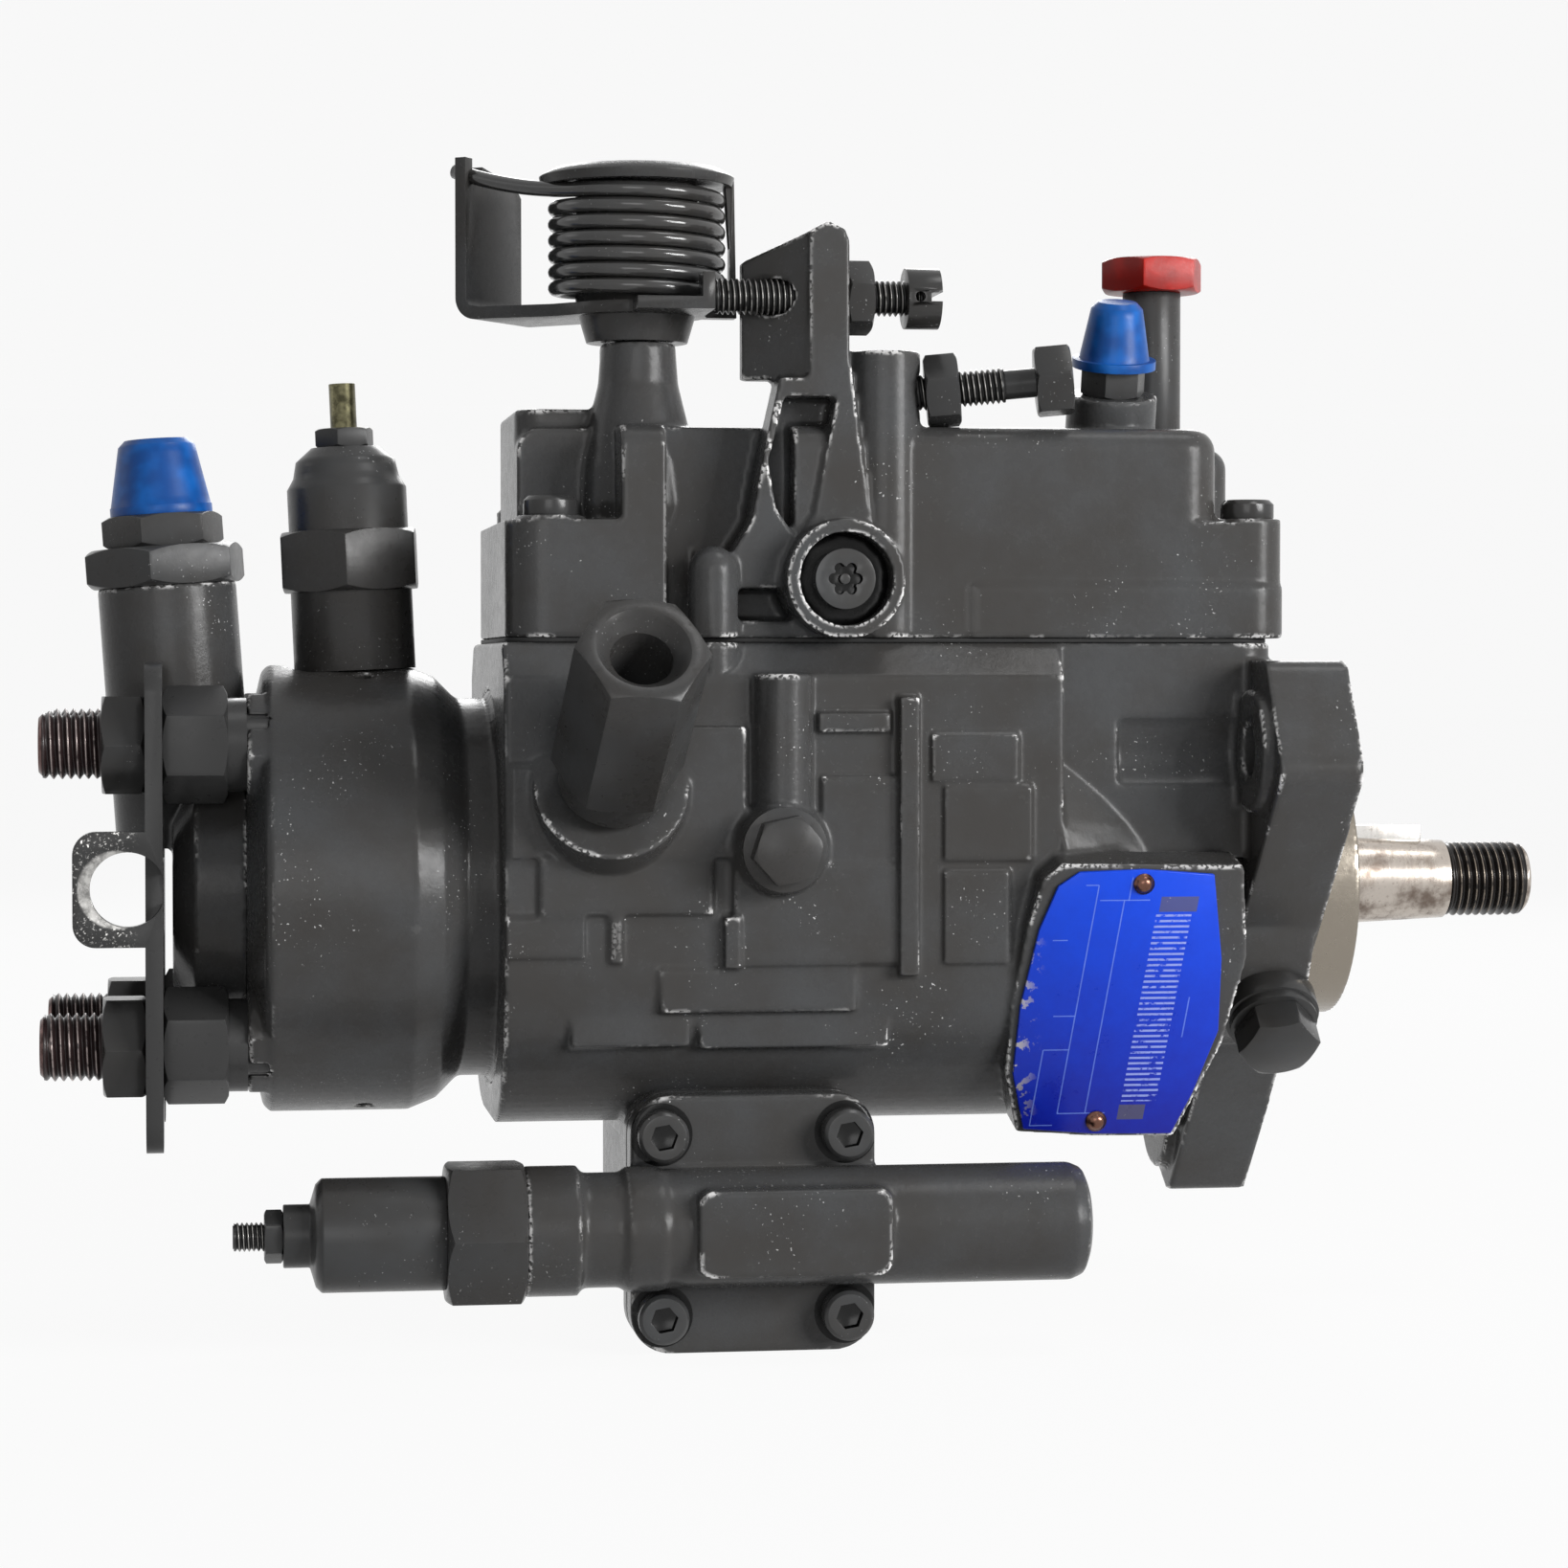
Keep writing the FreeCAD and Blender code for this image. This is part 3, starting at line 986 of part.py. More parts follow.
def inlet_cap():
    direction = (inlet_top(1) - inlet_top(0)).normalize()
    stack = INLET_BIG_T + INLET_SMALL_T
    base = inlet_top(INLET_BASE_Z) + direction * stack
    height = INLET_CAP_TOP - INLET_BASE_Z - stack
    return cap_shape(base, direction, INLET_CAP_R, INLET_CAP_TOP_R, height, INLET_NECK_R, 0.15)


def solenoid_axis():
    base = V(SOL_X, 0, SOL_SEAT_Z)
    return base, (leaning(SOL_X, 0, SOL_SEAT_Z, 10, SOL_LEAN) - base).normalize()


def solenoid_body():
    """The stop solenoid: a threaded foot, a hexagon and the coil can above it."""
    base, d = solenoid_axis()
    can = turned([(SOL_R, 0), (SOL_R, 14.4)], base, d)
    nut = hexagon(SOL_HEX_AF, 11.0, base + d * 14.4, d, 25)
    shoulder = [(SOL_TOP_R + 1.2, 25.4), (SOL_TOP_R + 1.2, 33), (SOL_TOP_R, 35),
                (SOL_TOP_R - 0.6, 38), (SOL_TOP_R - 3.5, 40.5)]
    top = turned(shoulder, base, d)
    foot = rod(6.0, base - d * 12, base)
    bore = rod(4.05, base - d * 13, base + d * 10)
    stud_bore = rod(2.4, base + d * 36, base + d * 41)
    return can.multiFuse([nut, top, foot]).cut(Part.makeCompound([bore, stud_bore])).removeSplitter()


def solenoid_terminal():
    base, d = solenoid_axis()
    stud = rod(2.4, base + d * 36, base + d * 52)
    nut = hexagon(9.5, 3.4, base + d * 40.5, d, 15)
    return stud.fuse(nut).removeSplitter()


def solenoid_plunger():
    base, d = solenoid_axis()
    return turned([(1.2, -14.4), (4.0, -11.6), (4.0, 4.0)], base, d)


def side_adaptor():
    """A hexagon adaptor on the housing's side; its open port looks up and out."""
    base = adaptor_base()
    d = adaptor_axis()
    mouth = ADAPTOR_LIFT + ADAPTOR_LENGTH
    body = hexagon(ADAPTOR_AF, ADAPTOR_LENGTH, base + d * ADAPTOR_LIFT, d, 0)
    collar = rod(ADAPTOR_AF / 2 - 0.6, base + d * 1.0, base + d * ADAPTOR_LIFT)
    foot = rod(4.0, base - d * 9, base + d * 1.0)
    port = cone(ADAPTOR_BORE_R, ADAPTOR_MOUTH_R, base + d * (mouth - 3.0), base + d * (mouth + 0.01))
    bore = rod(ADAPTOR_BORE_R, base + d * (mouth - 18.5), base + d * (mouth + 0.5))
    below = box(-200, 0, -BODY_HALF - 2.5, 0, -60, 60).cut(rod(4.0, base - d * 9, base))
    return body.multiFuse([collar, foot]).cut(port.fuse(bore)).cut(below).removeSplitter()


def side_bolt():
    seat = -BODY_HALF - 6
    washer = rod(7.4, (SIDE_BOLT_X, seat, SIDE_BOLT_Z), (SIDE_BOLT_X, seat - 1.6, SIDE_BOLT_Z))
    head = hexagon(SIDE_BOLT_AF, 5.0, (SIDE_BOLT_X, seat - 1.6, SIDE_BOLT_Z), (0, -1, 0), 12)
    shank = rod(3.0, (SIDE_BOLT_X, -BODY_HALF + 2, SIDE_BOLT_Z), (SIDE_BOLT_X, seat, SIDE_BOLT_Z))
    return shank.multiFuse([washer, head]).removeSplitter()


def torx_screw():
    """The tamper-proof screw: a six-lobed socket with a pin left standing in it."""
    seat = -COVER_HALF - 1
    head = rod(TORX_HEAD_R, (TORX_X, seat, TORX_Z), (TORX_X, seat - 4.5, TORX_Z))
    lobes = []
    for i in range(6):
        a = math.radians(60 * i)
        x = TORX_X + 2.1 * math.cos(a)
        z = TORX_Z + 2.1 * math.sin(a)
        lobes.append(rod(0.95, (x, seat - 1.5, z), (x, seat - 5, z)))
    socket = rod(2.2, (TORX_X, seat - 1.5, TORX_Z), (TORX_X, seat - 5, TORX_Z)).multiFuse(lobes)
    pin = rod(0.9, (TORX_X, seat, TORX_Z), (TORX_X, seat - 4.0, TORX_Z))
    shank = rod(3.0, (TORX_X, -28, TORX_Z), (TORX_X, seat, TORX_Z))
    return head.cut(socket).multiFuse([pin, shank]).removeSplitter()


def lock_screw():
    """The bolt that can lock the shaft, with the spacer under its head, as two solids."""
    def at(r):
        return V(*ring_point(r, LOCK_ANGLE, LOCK_X))
    out = (at(1) - at(0)).normalize()
    spacer = rod(8.6, at(LOCK_SEAT), at(LOCK_SEAT + 4)).cut(rod(LOCK_R, at(LOCK_SEAT - 1), at(LOCK_SEAT + 5)))
    shank = rod(LOCK_R, at(JOURNAL_R + 5.0), at(LOCK_SEAT + 4))
    brim = rod(8.0, at(LOCK_SEAT + 4), at(LOCK_SEAT + 5.6))
    head = hexagon(LOCK_AF, 6.0, at(LOCK_SEAT + 5.6), out, 10)
    return Part.makeCompound([spacer, shank.multiFuse([brim, head]).removeSplitter()])


def name_plate():
    return plate_shape(PLATE_OUTLINE, PLATE_T, 0.0)


def leak_axis():
    start = leaning(LEAK_X, LEAK_Y, TOP_Z - 6, LEAK_FOOT, 0, LEAK_LEAN)
    return start, (leaning(LEAK_X, LEAK_Y, TOP_Z - 6, 2 * LEAK_FOOT, 0, LEAK_LEAN) - start).normalize()


def backleak_union():
    base, d = leak_axis()
    foot = rod(3.5, base - d * 14, base)
    nut = hexagon(10.5, 5.0, base, d, 5)
    neck = rod(3.6, base + d * 5, base + d * 13)
    return foot.multiFuse([nut, neck]).cut(rod(1.6, base - d * 15, base + d * 14)).removeSplitter()


def backleak_cap():
    base, d = leak_axis()
    return cap_shape(base + d * 5, d, 6.4, 4.7, 12.0, 3.6)


def return_connector():
    """The upright pillar through which spare fuel goes back to the tank."""
    pillar = rod(RETURN_R, (RETURN_X, 0, TOP_Z), (RETURN_X, 0, RETURN_TOP))
    foot = rod(3.5, (RETURN_X, 0, TOP_Z - 8), (RETURN_X, 0, TOP_Z))
    neck = rod(3.2, (RETURN_X, 0, RETURN_TOP), (RETURN_X, 0, RETURN_TOP + 3.5))
    bore = rod(1.6, (RETURN_X, 0, TOP_Z - 9), (RETURN_X, 0, RETURN_TOP + 4))
    return pillar.multiFuse([foot, neck]).cut(bore).removeSplitter()


def red_cap():
    cap = hexagon(RED_AF, 6.2, (RETURN_X, 0, RETURN_TOP), (0, 0, 1), 8)
    return cap.cut(rod(3.2, (RETURN_X, 0, RETURN_TOP - 1), (RETURN_X, 0, RETURN_TOP + 3.5)))


def adjusting_screws():
    """The speed stop screw through the post, the idle screw on its tower and the advance valve's screw."""
    speed = rod(STOP_R, (STOP_TIP, STOP_Y, STOP_Z), (STOP_HEAD - 6, STOP_Y, STOP_Z))
    head = rod(5.4, (STOP_HEAD - 6, STOP_Y, STOP_Z), (STOP_HEAD, STOP_Y, STOP_Z))
    slot = box(STOP_HEAD - 2, STOP_HEAD + 1, STOP_Y - 6, STOP_Y + 6, STOP_Z - 0.8, STOP_Z + 0.8)
    wire_hole = rod(0.9, (STOP_HEAD - 4, STOP_Y - 7, STOP_Z), (STOP_HEAD - 4, STOP_Y + 7, STOP_Z))
    speed = speed.fuse(head).cut(Part.makeCompound([slot, wire_hole]))
    seat, d = idle_axis()
    idle = rod(IDLE_R, seat - d * 9, seat + d * 21).fuse(hexagon(11.5, 6.5, seat + d * 21, d, 15))
    advance = rod(ADJUSTER_R, (ADJUSTER_TIP, VALVE_Y, ADV_Z), (VALVE_LEFT + 8, VALVE_Y, ADV_Z))
    return Part.makeCompound([speed.removeSplitter(), idle.removeSplitter(), advance])


def lock_nuts():
    """The three locknuts of the speed, idle and advance adjusting screws."""
    seat, d = idle_axis()
    nuts = [
        hexagon(11.5, 4.6, (POST_FRONT, STOP_Y, STOP_Z), (1, 0, 0), 12).cut(
            rod(STOP_R, (POST_FRONT - 2, STOP_Y, STOP_Z), (STOP_HEAD, STOP_Y, STOP_Z))),
        hexagon(11.5, 6.0, seat + d * 1.4, d, 5).cut(rod(IDLE_R, seat, seat + d * 12)),
        hexagon(8.0, 3.2, (STUB_LEFT, VALVE_Y, ADV_Z), (-1, 0, 0), 0).cut(
            rod(ADJUSTER_R, (STUB_LEFT - 6, VALVE_Y, ADV_Z), (STUB_LEFT + 1, VALVE_Y, ADV_Z))),
    ]
    return Part.makeCompound(nuts)


def throttle_shaft():
    """The upright shaft that carries the lever outside and the governor spring's crank inside."""
    stem = rod(THROTTLE_R, (THROTTLE_X, THROTTLE_Y, CRANK_Z - 3), (THROTTLE_X, THROTTLE_Y, RIM_Z + 3))
    crank = box(THROTTLE_X, THROTTLE_X + CRANK_REACH + 2.5, THROTTLE_Y - 3.4, THROTTLE_Y + 3.4,
                CRANK_Z - 1.5, CRANK_Z + 1.5)
    pin_x = THROTTLE_X + CRANK_REACH
    pin = rod(1.6, (pin_x, THROTTLE_Y, CRANK_Z), (pin_x, THROTTLE_Y, CRANK_Z + 5))
    arm = crank.fuse(pin)
    arm.rotate(V(THROTTLE_X, THROTTLE_Y, 0), UP, CRANK_ANGLE)
    return stem.fuse(arm).removeSplitter()


def across_at(x, z):
    """Picks the straight edge that runs across the pump at this x and z."""
    def test(e):
        b = e.BoundBox
        return along(NEAR)(e) and abs(b.XMax - x) < 0.01 and abs(b.XMin - x) < 0.01 and abs(b.ZMin - z) < 0.01
    return test


def throttle_lever():
    """The pressed lever: an arm back to its upturned tab, the stop ear, the spring's drum and rim."""
    x, y = THROTTLE_X, THROTTLE_Y
    top = LEVER_Z + LEVER_T
    out = TAB_REACH + LEVER_T
    plan = [(0, -10.0), (14, -8.0), (out - 5, -TAB_FAR), (out, -TAB_FAR), (out, TAB_NEAR),
            (out - 8, TAB_NEAR), (12, 9.5), (0, LEVER_EYE_R - 0.5)]
    sheet = Part.Face(Part.makePolygon([V(a, b, LEVER_Z) for a, b in plan + plan[:1]]))
    arm = sheet.extrude(V(0, 0, LEVER_T))
    face = [(-TAB_FAR, LEVER_Z), (TAB_NEAR, LEVER_Z), (TAB_NEAR, TAB_TOP), (8.0, TAB_TOP),
            (8.0, TAB_TOP - 4.0), (4.6, TAB_TOP - 4.0), (4.6, TAB_TOP - 1.2),
            (-TAB_FAR + 2, TAB_TOP - 3.6), (-TAB_FAR, TAB_TOP - 5.6)]
    tab = outline(face, (TAB_REACH, LEVER_T), "x")
    bent = arm.fuse(tab).removeSplitter()
    bent = rounded(bent, 4.0, across_at(out, LEVER_Z))
    bent = rounded(bent, 2.0, across_at(TAB_REACH, top))
    bent.rotate(V(0, 0, 0), UP, LEVER_ANGLE)
    bent.translate(V(x, y, 0))
    eye = rod(LEVER_EYE_R, (x, y, LEVER_Z), (x, y, top))
    ear = box(x - 2, STOP_TIP - FREE, STOP_Y - 4, y, LEVER_Z, top)
    lip = box(STOP_TIP - FREE - LEVER_T, STOP_TIP - FREE, STOP_Y - 4, STOP_Y + 2, LEVER_Z, STOP_Z + 4)
    rim = turned([(RIM_R - 1.6, 0), (RIM_R, 0.8), (RIM_R, 1.8)], (x, y, RIM_Z))
    drum = rod(DRUM_R, (x, y, top), (x, y, RIM_Z)).fuse(rim)
    strap_out = x + RIM_R + 0.6
    strap = box(strap_out - 1.2, strap_out, y + STRAP_FROM, y + STRAP_TO, LEVER_Z, RIM_Z + 1.8)
    strap_foot = box(x, strap_out, y + STRAP_FROM, y + STRAP_TO, LEVER_Z, top)
    cup = turned([(THROTTLE_BOSS_R + 2.4, 0), (LEVER_EYE_R - 2, LEVER_Z - THROTTLE_BOSS_TOP - FREE)],
                 (x, y, THROTTLE_BOSS_TOP + FREE))
    lever = eye.multiFuse([bent, ear, lip, drum, cup, strap, strap_foot])
    return lever.cut(rod(THROTTLE_R, (x, y, TOP_Z), (x, y, RIM_Z + 3))).removeSplitter()


def return_spring():
    """The torsion spring wound round the lever's drum, as a helix of short straight lengths."""
    pitch = (RIM_Z - SPRING_BASE - 2 * SPRING_WIRE_R - FREE) / SPRING_TURNS
    steps = SPRING_STEPS * SPRING_TURNS
    rings = []
    for i in range(steps + 1):
        turn = 2 * math.pi * i / SPRING_STEPS
        out = V(math.cos(turn), math.sin(turn), 0)
        centre = V(THROTTLE_X, THROTTLE_Y, SPRING_BASE + pitch * i / SPRING_STEPS) + out * SPRING_R
        wire = [centre + (out * math.cos(a) + UP * math.sin(a)) * SPRING_WIRE_R for a in SPRING_SIDES]
        rings.append(Part.makePolygon(wire + wire[:1]))
    return Part.makeLoft(rings, True, True)


def plain_spring(r_out, r_in, start, end):
    """A spring drawn as the sleeve that its coils fill."""
    return rod(r_out, start, end).cut(rod(r_in, start, end))


def governor_spring():
    a = math.radians(CRANK_ANGLE)
    x = THROTTLE_X + CRANK_REACH * math.cos(a) + 4.3
    y = THROTTLE_Y + CRANK_REACH * math.sin(a)
    z = CRANK_Z + 3.5
    return plain_spring(3.2, 2.0, (x, y, z), (ARM_FRONT - ARM_T - FREE, y, z))


def advance_box():
    """The cylinder under the housing in which the advance piston slides across the pump."""
    x0 = CAM_X - ADV_HALF
    x1 = CAM_X + ADV_HALF
    shell = box(x0, x1, ADV_NEAR, ADV_FAR, ADV_BOTTOM, ADV_TOP)
    shell = rounded(shell, 6.0, lambda e: along(NEAR)(e) and e.BoundBox.ZMax < ADV_TOP - 1)
    near = box(CAM_X - VALVE_PLATE_HALF_X, CAM_X + VALVE_PLATE_HALF_X, ADV_NEAR, ADV_NEAR + 6,
               ADV_Z - VALVE_PLATE_HALF_Z, ADV_Z + VALVE_PLATE_HALF_Z)
    near = rounded(near, 7.0, along(NEAR))
    shell = shell.fuse(near)
    cuts = [
        rod(ADV_BORE_R, (CAM_X, ADV_NEAR - 1, ADV_Z), (CAM_X, ADV_FAR + 1, ADV_Z)),
        box(CAM_X - 8, CAM_X + 8, -13, 13, ADV_Z, ADV_TOP + 1),
    ]
    for x, z in valve_screw_places():
        cuts.append(rod(VALVE_SCREW_R, (x, ADV_NEAR - 1, z), (x, ADV_NEAR + 5, z)))
    return shell.cut(Part.makeCompound(cuts)).removeSplitter()


def valve_screw_places():
    return [(CAM_X + a * VALVE_SCREW_DX, ADV_Z + b * VALVE_SCREW_DZ) for a in (-1, 1) for b in (-1, 1)]


def advance_piston():
    piston = rod(ADV_BORE_R - 0.05, (CAM_X, -PISTON_HALF, ADV_Z), (CAM_X, PISTON_HALF, ADV_Z))
    slot = rod(CAM_BALL_R + 0.1, (CAM_X, 0, -CAM_PIN_REACH - CAM_BALL_R - 1.5), (CAM_X, 0, ADV_TOP + 10))
    cup = rod(8.0, (CAM_X, PISTON_HALF - 6, ADV_Z), (CAM_X, PISTON_HALF + 1, ADV_Z))
    return piston.cut(Part.makeCompound([slot, cup])).removeSplitter()


def advance_plug():
    x = CAM_X
    plug = rod(ADV_BORE_R, (x, ADV_FAR - 8, ADV_Z), (x, ADV_FAR, ADV_Z))
    brim = rod(15.5, (x, ADV_FAR, ADV_Z), (x, ADV_FAR + 2.5, ADV_Z))
    head = hexagon(19.0, 8.0, (x, ADV_FAR + 2.5, ADV_Z), (0, 1, 0), 0)
    return plug.multiFuse([brim, head]).removeSplitter()


def advance_spring():
    return plain_spring(7.5, 5.5, (CAM_X, PISTON_HALF - 6 + FREE, ADV_Z), (CAM_X, ADV_FAR - 8 - FREE, ADV_Z))


def valve_body():
    """The advance control valve: a screwed-on plate with the long valve barrel across it."""
    y0 = ADV_NEAR - VALVE_PLATE_T
    plate = box(CAM_X - VALVE_PLATE_HALF_X, CAM_X + VALVE_PLATE_HALF_X, y0, ADV_NEAR,
                ADV_Z - VALVE_PLATE_HALF_Z, ADV_Z + VALVE_PLATE_HALF_Z)
    plate = rounded(plate, 7.0, along(NEAR))
    edge = [(VALVE_R + 0.9, VALVE_LEFT), (VALVE_R + 0.9, -137.5), (VALVE_R - 0.4, -136.5),
            (VALVE_R - 0.4, -130), (VALVE_R + 0.5, -129), (VALVE_R + 0.5, -123), (VALVE_R, -122),
            (VALVE_R, VALVE_RIGHT - 3), (VALVE_R - 0.9, VALVE_RIGHT - 0.9), (VALVE_R - 3, VALVE_RIGHT)]
    barrel = turned(edge, (0, VALVE_Y, ADV_Z), (1, 0, 0))
    saddle = box(-117.5, -84.0, VALVE_Y - VALVE_R - 1.6, VALVE_Y + 3, ADV_Z - 7.2, ADV_Z + 7.8)
    saddle = rounded(saddle, 2.5, along(NEAR))
    body = plate.multiFuse([barrel, saddle])
    cuts = [rod(VALVE_BORE_R, (VALVE_LEFT - 1, VALVE_Y, ADV_Z), (SPOOL_RIGHT + 8, VALVE_Y, ADV_Z))]
    for x, z in valve_screw_places():
        cuts.append(rod(VALVE_SCREW_R, (x, y0 - 1, z), (x, ADV_NEAR + 1, z)))
        cuts.append(rod(VALVE_SCREW_HEAD_R + 1.2, (x, y0 - 12, z), (x, y0, z)))
    return body.cut(Part.makeCompound(cuts)).removeSplitter()


def valve_cap_screws():
    screws = []
    y0 = ADV_NEAR - VALVE_PLATE_T
    for x, z in valve_screw_places():
        shank = rod(VALVE_SCREW_R, (x, ADV_NEAR + 5, z), (x, y0, z))
        edge = [(VALVE_SCREW_HEAD_R, 0), (VALVE_SCREW_HEAD_R, 4.4), (VALVE_SCREW_HEAD_R - 0.6, 5)]
        head = turned(edge, (x, y0, z), (0, -1, 0))
        socket = hexagon(4.2, 3.0, (x, y0 - 2.4, z), (0, -1, 0), 10, chamfer=False)
        screws.append(shank.fuse(head).cut(socket).removeSplitter())
    return Part.makeCompound(screws)


def valve_hex_plug():
    start = (VALVE_HEX_LEFT, VALVE_Y, ADV_Z)
    plug = hexagon(VALVE_HEX_AF, VALVE_LEFT - VALVE_HEX_LEFT, start, (1, 0, 0), 30)
    spigot = rod(VALVE_BORE_R, (VALVE_LEFT, VALVE_Y, ADV_Z), (VALVE_LEFT + 8, VALVE_Y, ADV_Z))
    bore = rod(ADJUSTER_R, (-170, VALVE_Y, ADV_Z), (-100, VALVE_Y, ADV_Z))
    return plug.fuse(spigot).cut(bore).removeSplitter()


def valve_cap():
    edge = [(5.4, STUB_LEFT), (5.4, VALVE_CAP_LEFT - 1), (VALVE_CAP_R - 1, VALVE_CAP_LEFT),
            (VALVE_CAP_R, VALVE_CAP_LEFT + 1), (VALVE_CAP_R, VALVE_HEX_LEFT)]
    cap = turned(edge, (0, VALVE_Y, ADV_Z), (1, 0, 0))
    return cap.cut(rod(ADJUSTER_R, (-220, VALVE_Y, ADV_Z), (-100, VALVE_Y, ADV_Z)))


def valve_spring():
    start = (VALVE_LEFT + 8 + FREE, VALVE_Y, ADV_Z)
    return plain_spring(4.2, 3.0, start, (SPOOL_LEFT - FREE, VALVE_Y, ADV_Z))


def valve_spool():
    r = VALVE_BORE_R - 0.05
    waist = r - SPOOL_WAIST
    land_end = SPOOL_LEFT + SPOOL_LAND
    land_start = SPOOL_RIGHT - SPOOL_LAND
    edge = [(r, SPOOL_LEFT), (r, land_end), (waist, land_end),
            (waist, land_start), (r, land_start), (r, SPOOL_RIGHT)]
    return turned(edge, (0, VALVE_Y, ADV_Z), (1, 0, 0))


NODES = {
    "pump_housing": pump_housing, "governor_cover": governor_cover, "cover_gasket": cover_gasket,
    "cover_screws": cover_screws, "hydraulic_head": hydraulic_head, "hydraulic_sleeve": hydraulic_sleeve,
    "transfer_liner": transfer_liner, "end_plate": end_plate, "outlet_unions": outlet_unions,
    "outlet_nuts": outlet_nuts, "keeper_plate": keeper_plate, "inlet_connector": inlet_connector,
    "inlet_cap": inlet_cap, "solenoid_body": solenoid_body, "solenoid_terminal": solenoid_terminal,
    "solenoid_plunger": solenoid_plunger, "side_adaptor": side_adaptor, "side_bolt": side_bolt,
    "torx_screw": torx_screw, "lock_screw": lock_screw, "name_plate": name_plate,
    "backleak_union": backleak_union, "backleak_cap": backleak_cap, "return_connector": return_connector,
    "red_cap": red_cap, "adjusting_screws": adjusting_screws, "lock_nuts": lock_nuts, "shaft_bush": shaft_bush,
    "shaft_seal": shaft_seal, "drive_shaft": drive_shaft, "drive_key": drive_key, "weight_cage": weight_cage,
    "thrust_sleeve": thrust_sleeve, "governor_arm": governor_arm, "governor_bracket": governor_bracket,
    "governor_link": governor_link, "metering_valve": metering_valve, "governor_spring": governor_spring,
    "cam_ring": cam_ring, "distributor_rotor": distributor_rotor, "transfer_rotor": transfer_rotor,
    "throttle_shaft": throttle_shaft, "throttle_lever": throttle_lever, "return_spring": return_spring,
    "advance_box": advance_box, "advance_piston": advance_piston, "advance_plug": advance_plug,
    "advance_spring": advance_spring, "valve_body": valve_body, "valve_cap_screws": valve_cap_screws,
    "valve_hex_plug": valve_hex_plug, "valve_cap": valve_cap,
    "valve_spool": valve_spool, "valve_spring": valve_spring,
}

os.makedirs("parts", exist_ok=True)
for name, make in NODES.items():
    make().exportStep(f"parts/{name}.step")
for i in range(WEIGHTS):
    governor_weight(i).exportStep(f"parts/governor_weight_{i + 1}.step")
for name, side in (("plunger_set_a", 1), ("plunger_set_b", -1)):
    plunger_set(side).exportStep(f"parts/{name}.step")
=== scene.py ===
# %% [markdown]
# A rotary diesel injection pump, dressed for its portrait. The metal is already in place: every solid
# arrives from the drawing in metres, in one frame whose X axis is the drive shaft. This lesson gives the
# castings their soft edges, cuts real threads, winds the springs and mixes each finish from nodes.

# %% Load the frame
import bpy
import bmesh
import json
import math
from collections import namedtuple
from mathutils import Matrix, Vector

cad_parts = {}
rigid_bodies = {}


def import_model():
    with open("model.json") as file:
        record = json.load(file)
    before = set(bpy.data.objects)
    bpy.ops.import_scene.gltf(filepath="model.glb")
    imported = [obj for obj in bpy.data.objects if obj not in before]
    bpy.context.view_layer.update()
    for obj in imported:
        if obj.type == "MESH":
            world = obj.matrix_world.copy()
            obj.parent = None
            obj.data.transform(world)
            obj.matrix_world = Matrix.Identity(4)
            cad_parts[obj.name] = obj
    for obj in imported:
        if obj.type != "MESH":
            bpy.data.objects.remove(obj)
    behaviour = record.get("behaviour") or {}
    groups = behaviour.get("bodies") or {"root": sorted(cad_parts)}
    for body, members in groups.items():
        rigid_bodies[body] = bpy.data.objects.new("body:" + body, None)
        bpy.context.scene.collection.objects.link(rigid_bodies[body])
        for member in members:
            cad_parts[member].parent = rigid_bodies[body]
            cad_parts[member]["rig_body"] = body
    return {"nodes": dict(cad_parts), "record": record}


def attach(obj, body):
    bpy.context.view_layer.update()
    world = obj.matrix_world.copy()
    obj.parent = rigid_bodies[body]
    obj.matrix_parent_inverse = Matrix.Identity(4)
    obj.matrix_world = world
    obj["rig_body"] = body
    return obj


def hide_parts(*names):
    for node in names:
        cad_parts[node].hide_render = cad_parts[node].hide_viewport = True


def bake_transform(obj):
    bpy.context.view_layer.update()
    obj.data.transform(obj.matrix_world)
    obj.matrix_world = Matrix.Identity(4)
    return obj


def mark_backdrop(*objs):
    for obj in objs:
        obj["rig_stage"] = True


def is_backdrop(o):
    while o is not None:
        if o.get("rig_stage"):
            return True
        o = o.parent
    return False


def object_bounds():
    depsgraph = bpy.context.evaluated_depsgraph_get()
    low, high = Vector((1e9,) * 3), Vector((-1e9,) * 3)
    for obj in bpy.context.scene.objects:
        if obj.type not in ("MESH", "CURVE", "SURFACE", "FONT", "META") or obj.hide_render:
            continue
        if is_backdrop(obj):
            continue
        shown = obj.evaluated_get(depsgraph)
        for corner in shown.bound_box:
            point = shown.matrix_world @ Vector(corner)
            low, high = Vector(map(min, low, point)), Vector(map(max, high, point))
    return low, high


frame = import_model()
cad_box = [list(map(float, corner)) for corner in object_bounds()]
nodes = frame["nodes"]
print("nodes", len(nodes), "box", cad_box)

# %% [markdown]
# The drawing is in millimetres and Blender works in metres, so a point is written in millimetres and
# divided once, here. A reader can then hold a ruler against the numbers.

# %% Millimetres
MM = 0.001
MIDDLE_X = -94


def at(x, y, z):
    """A point of the pump, given in millimetres."""
    return Vector((x, y, z)) * MM


PUMP_MIDDLE = at(MIDDLE_X, 0, 18.5)
print("middle of the picture", PUMP_MIDDLE)

# %% [markdown]
# Blender shows nothing until its data, such as a mesh or a lamp, is held by an object and the object is
# linked to the scene. Every lamp and piece below needs both steps, so one helper takes them. A second one
# turns a camera or a lamp to the pump, since both look along their own Z axis backwards.

# %% Objects
def put_in_scene(name, data):
    """A new object that holds some data, linked to the scene."""
    holder = bpy.data.objects.new(name, data)
    bpy.context.scene.collection.objects.link(holder)
    return holder


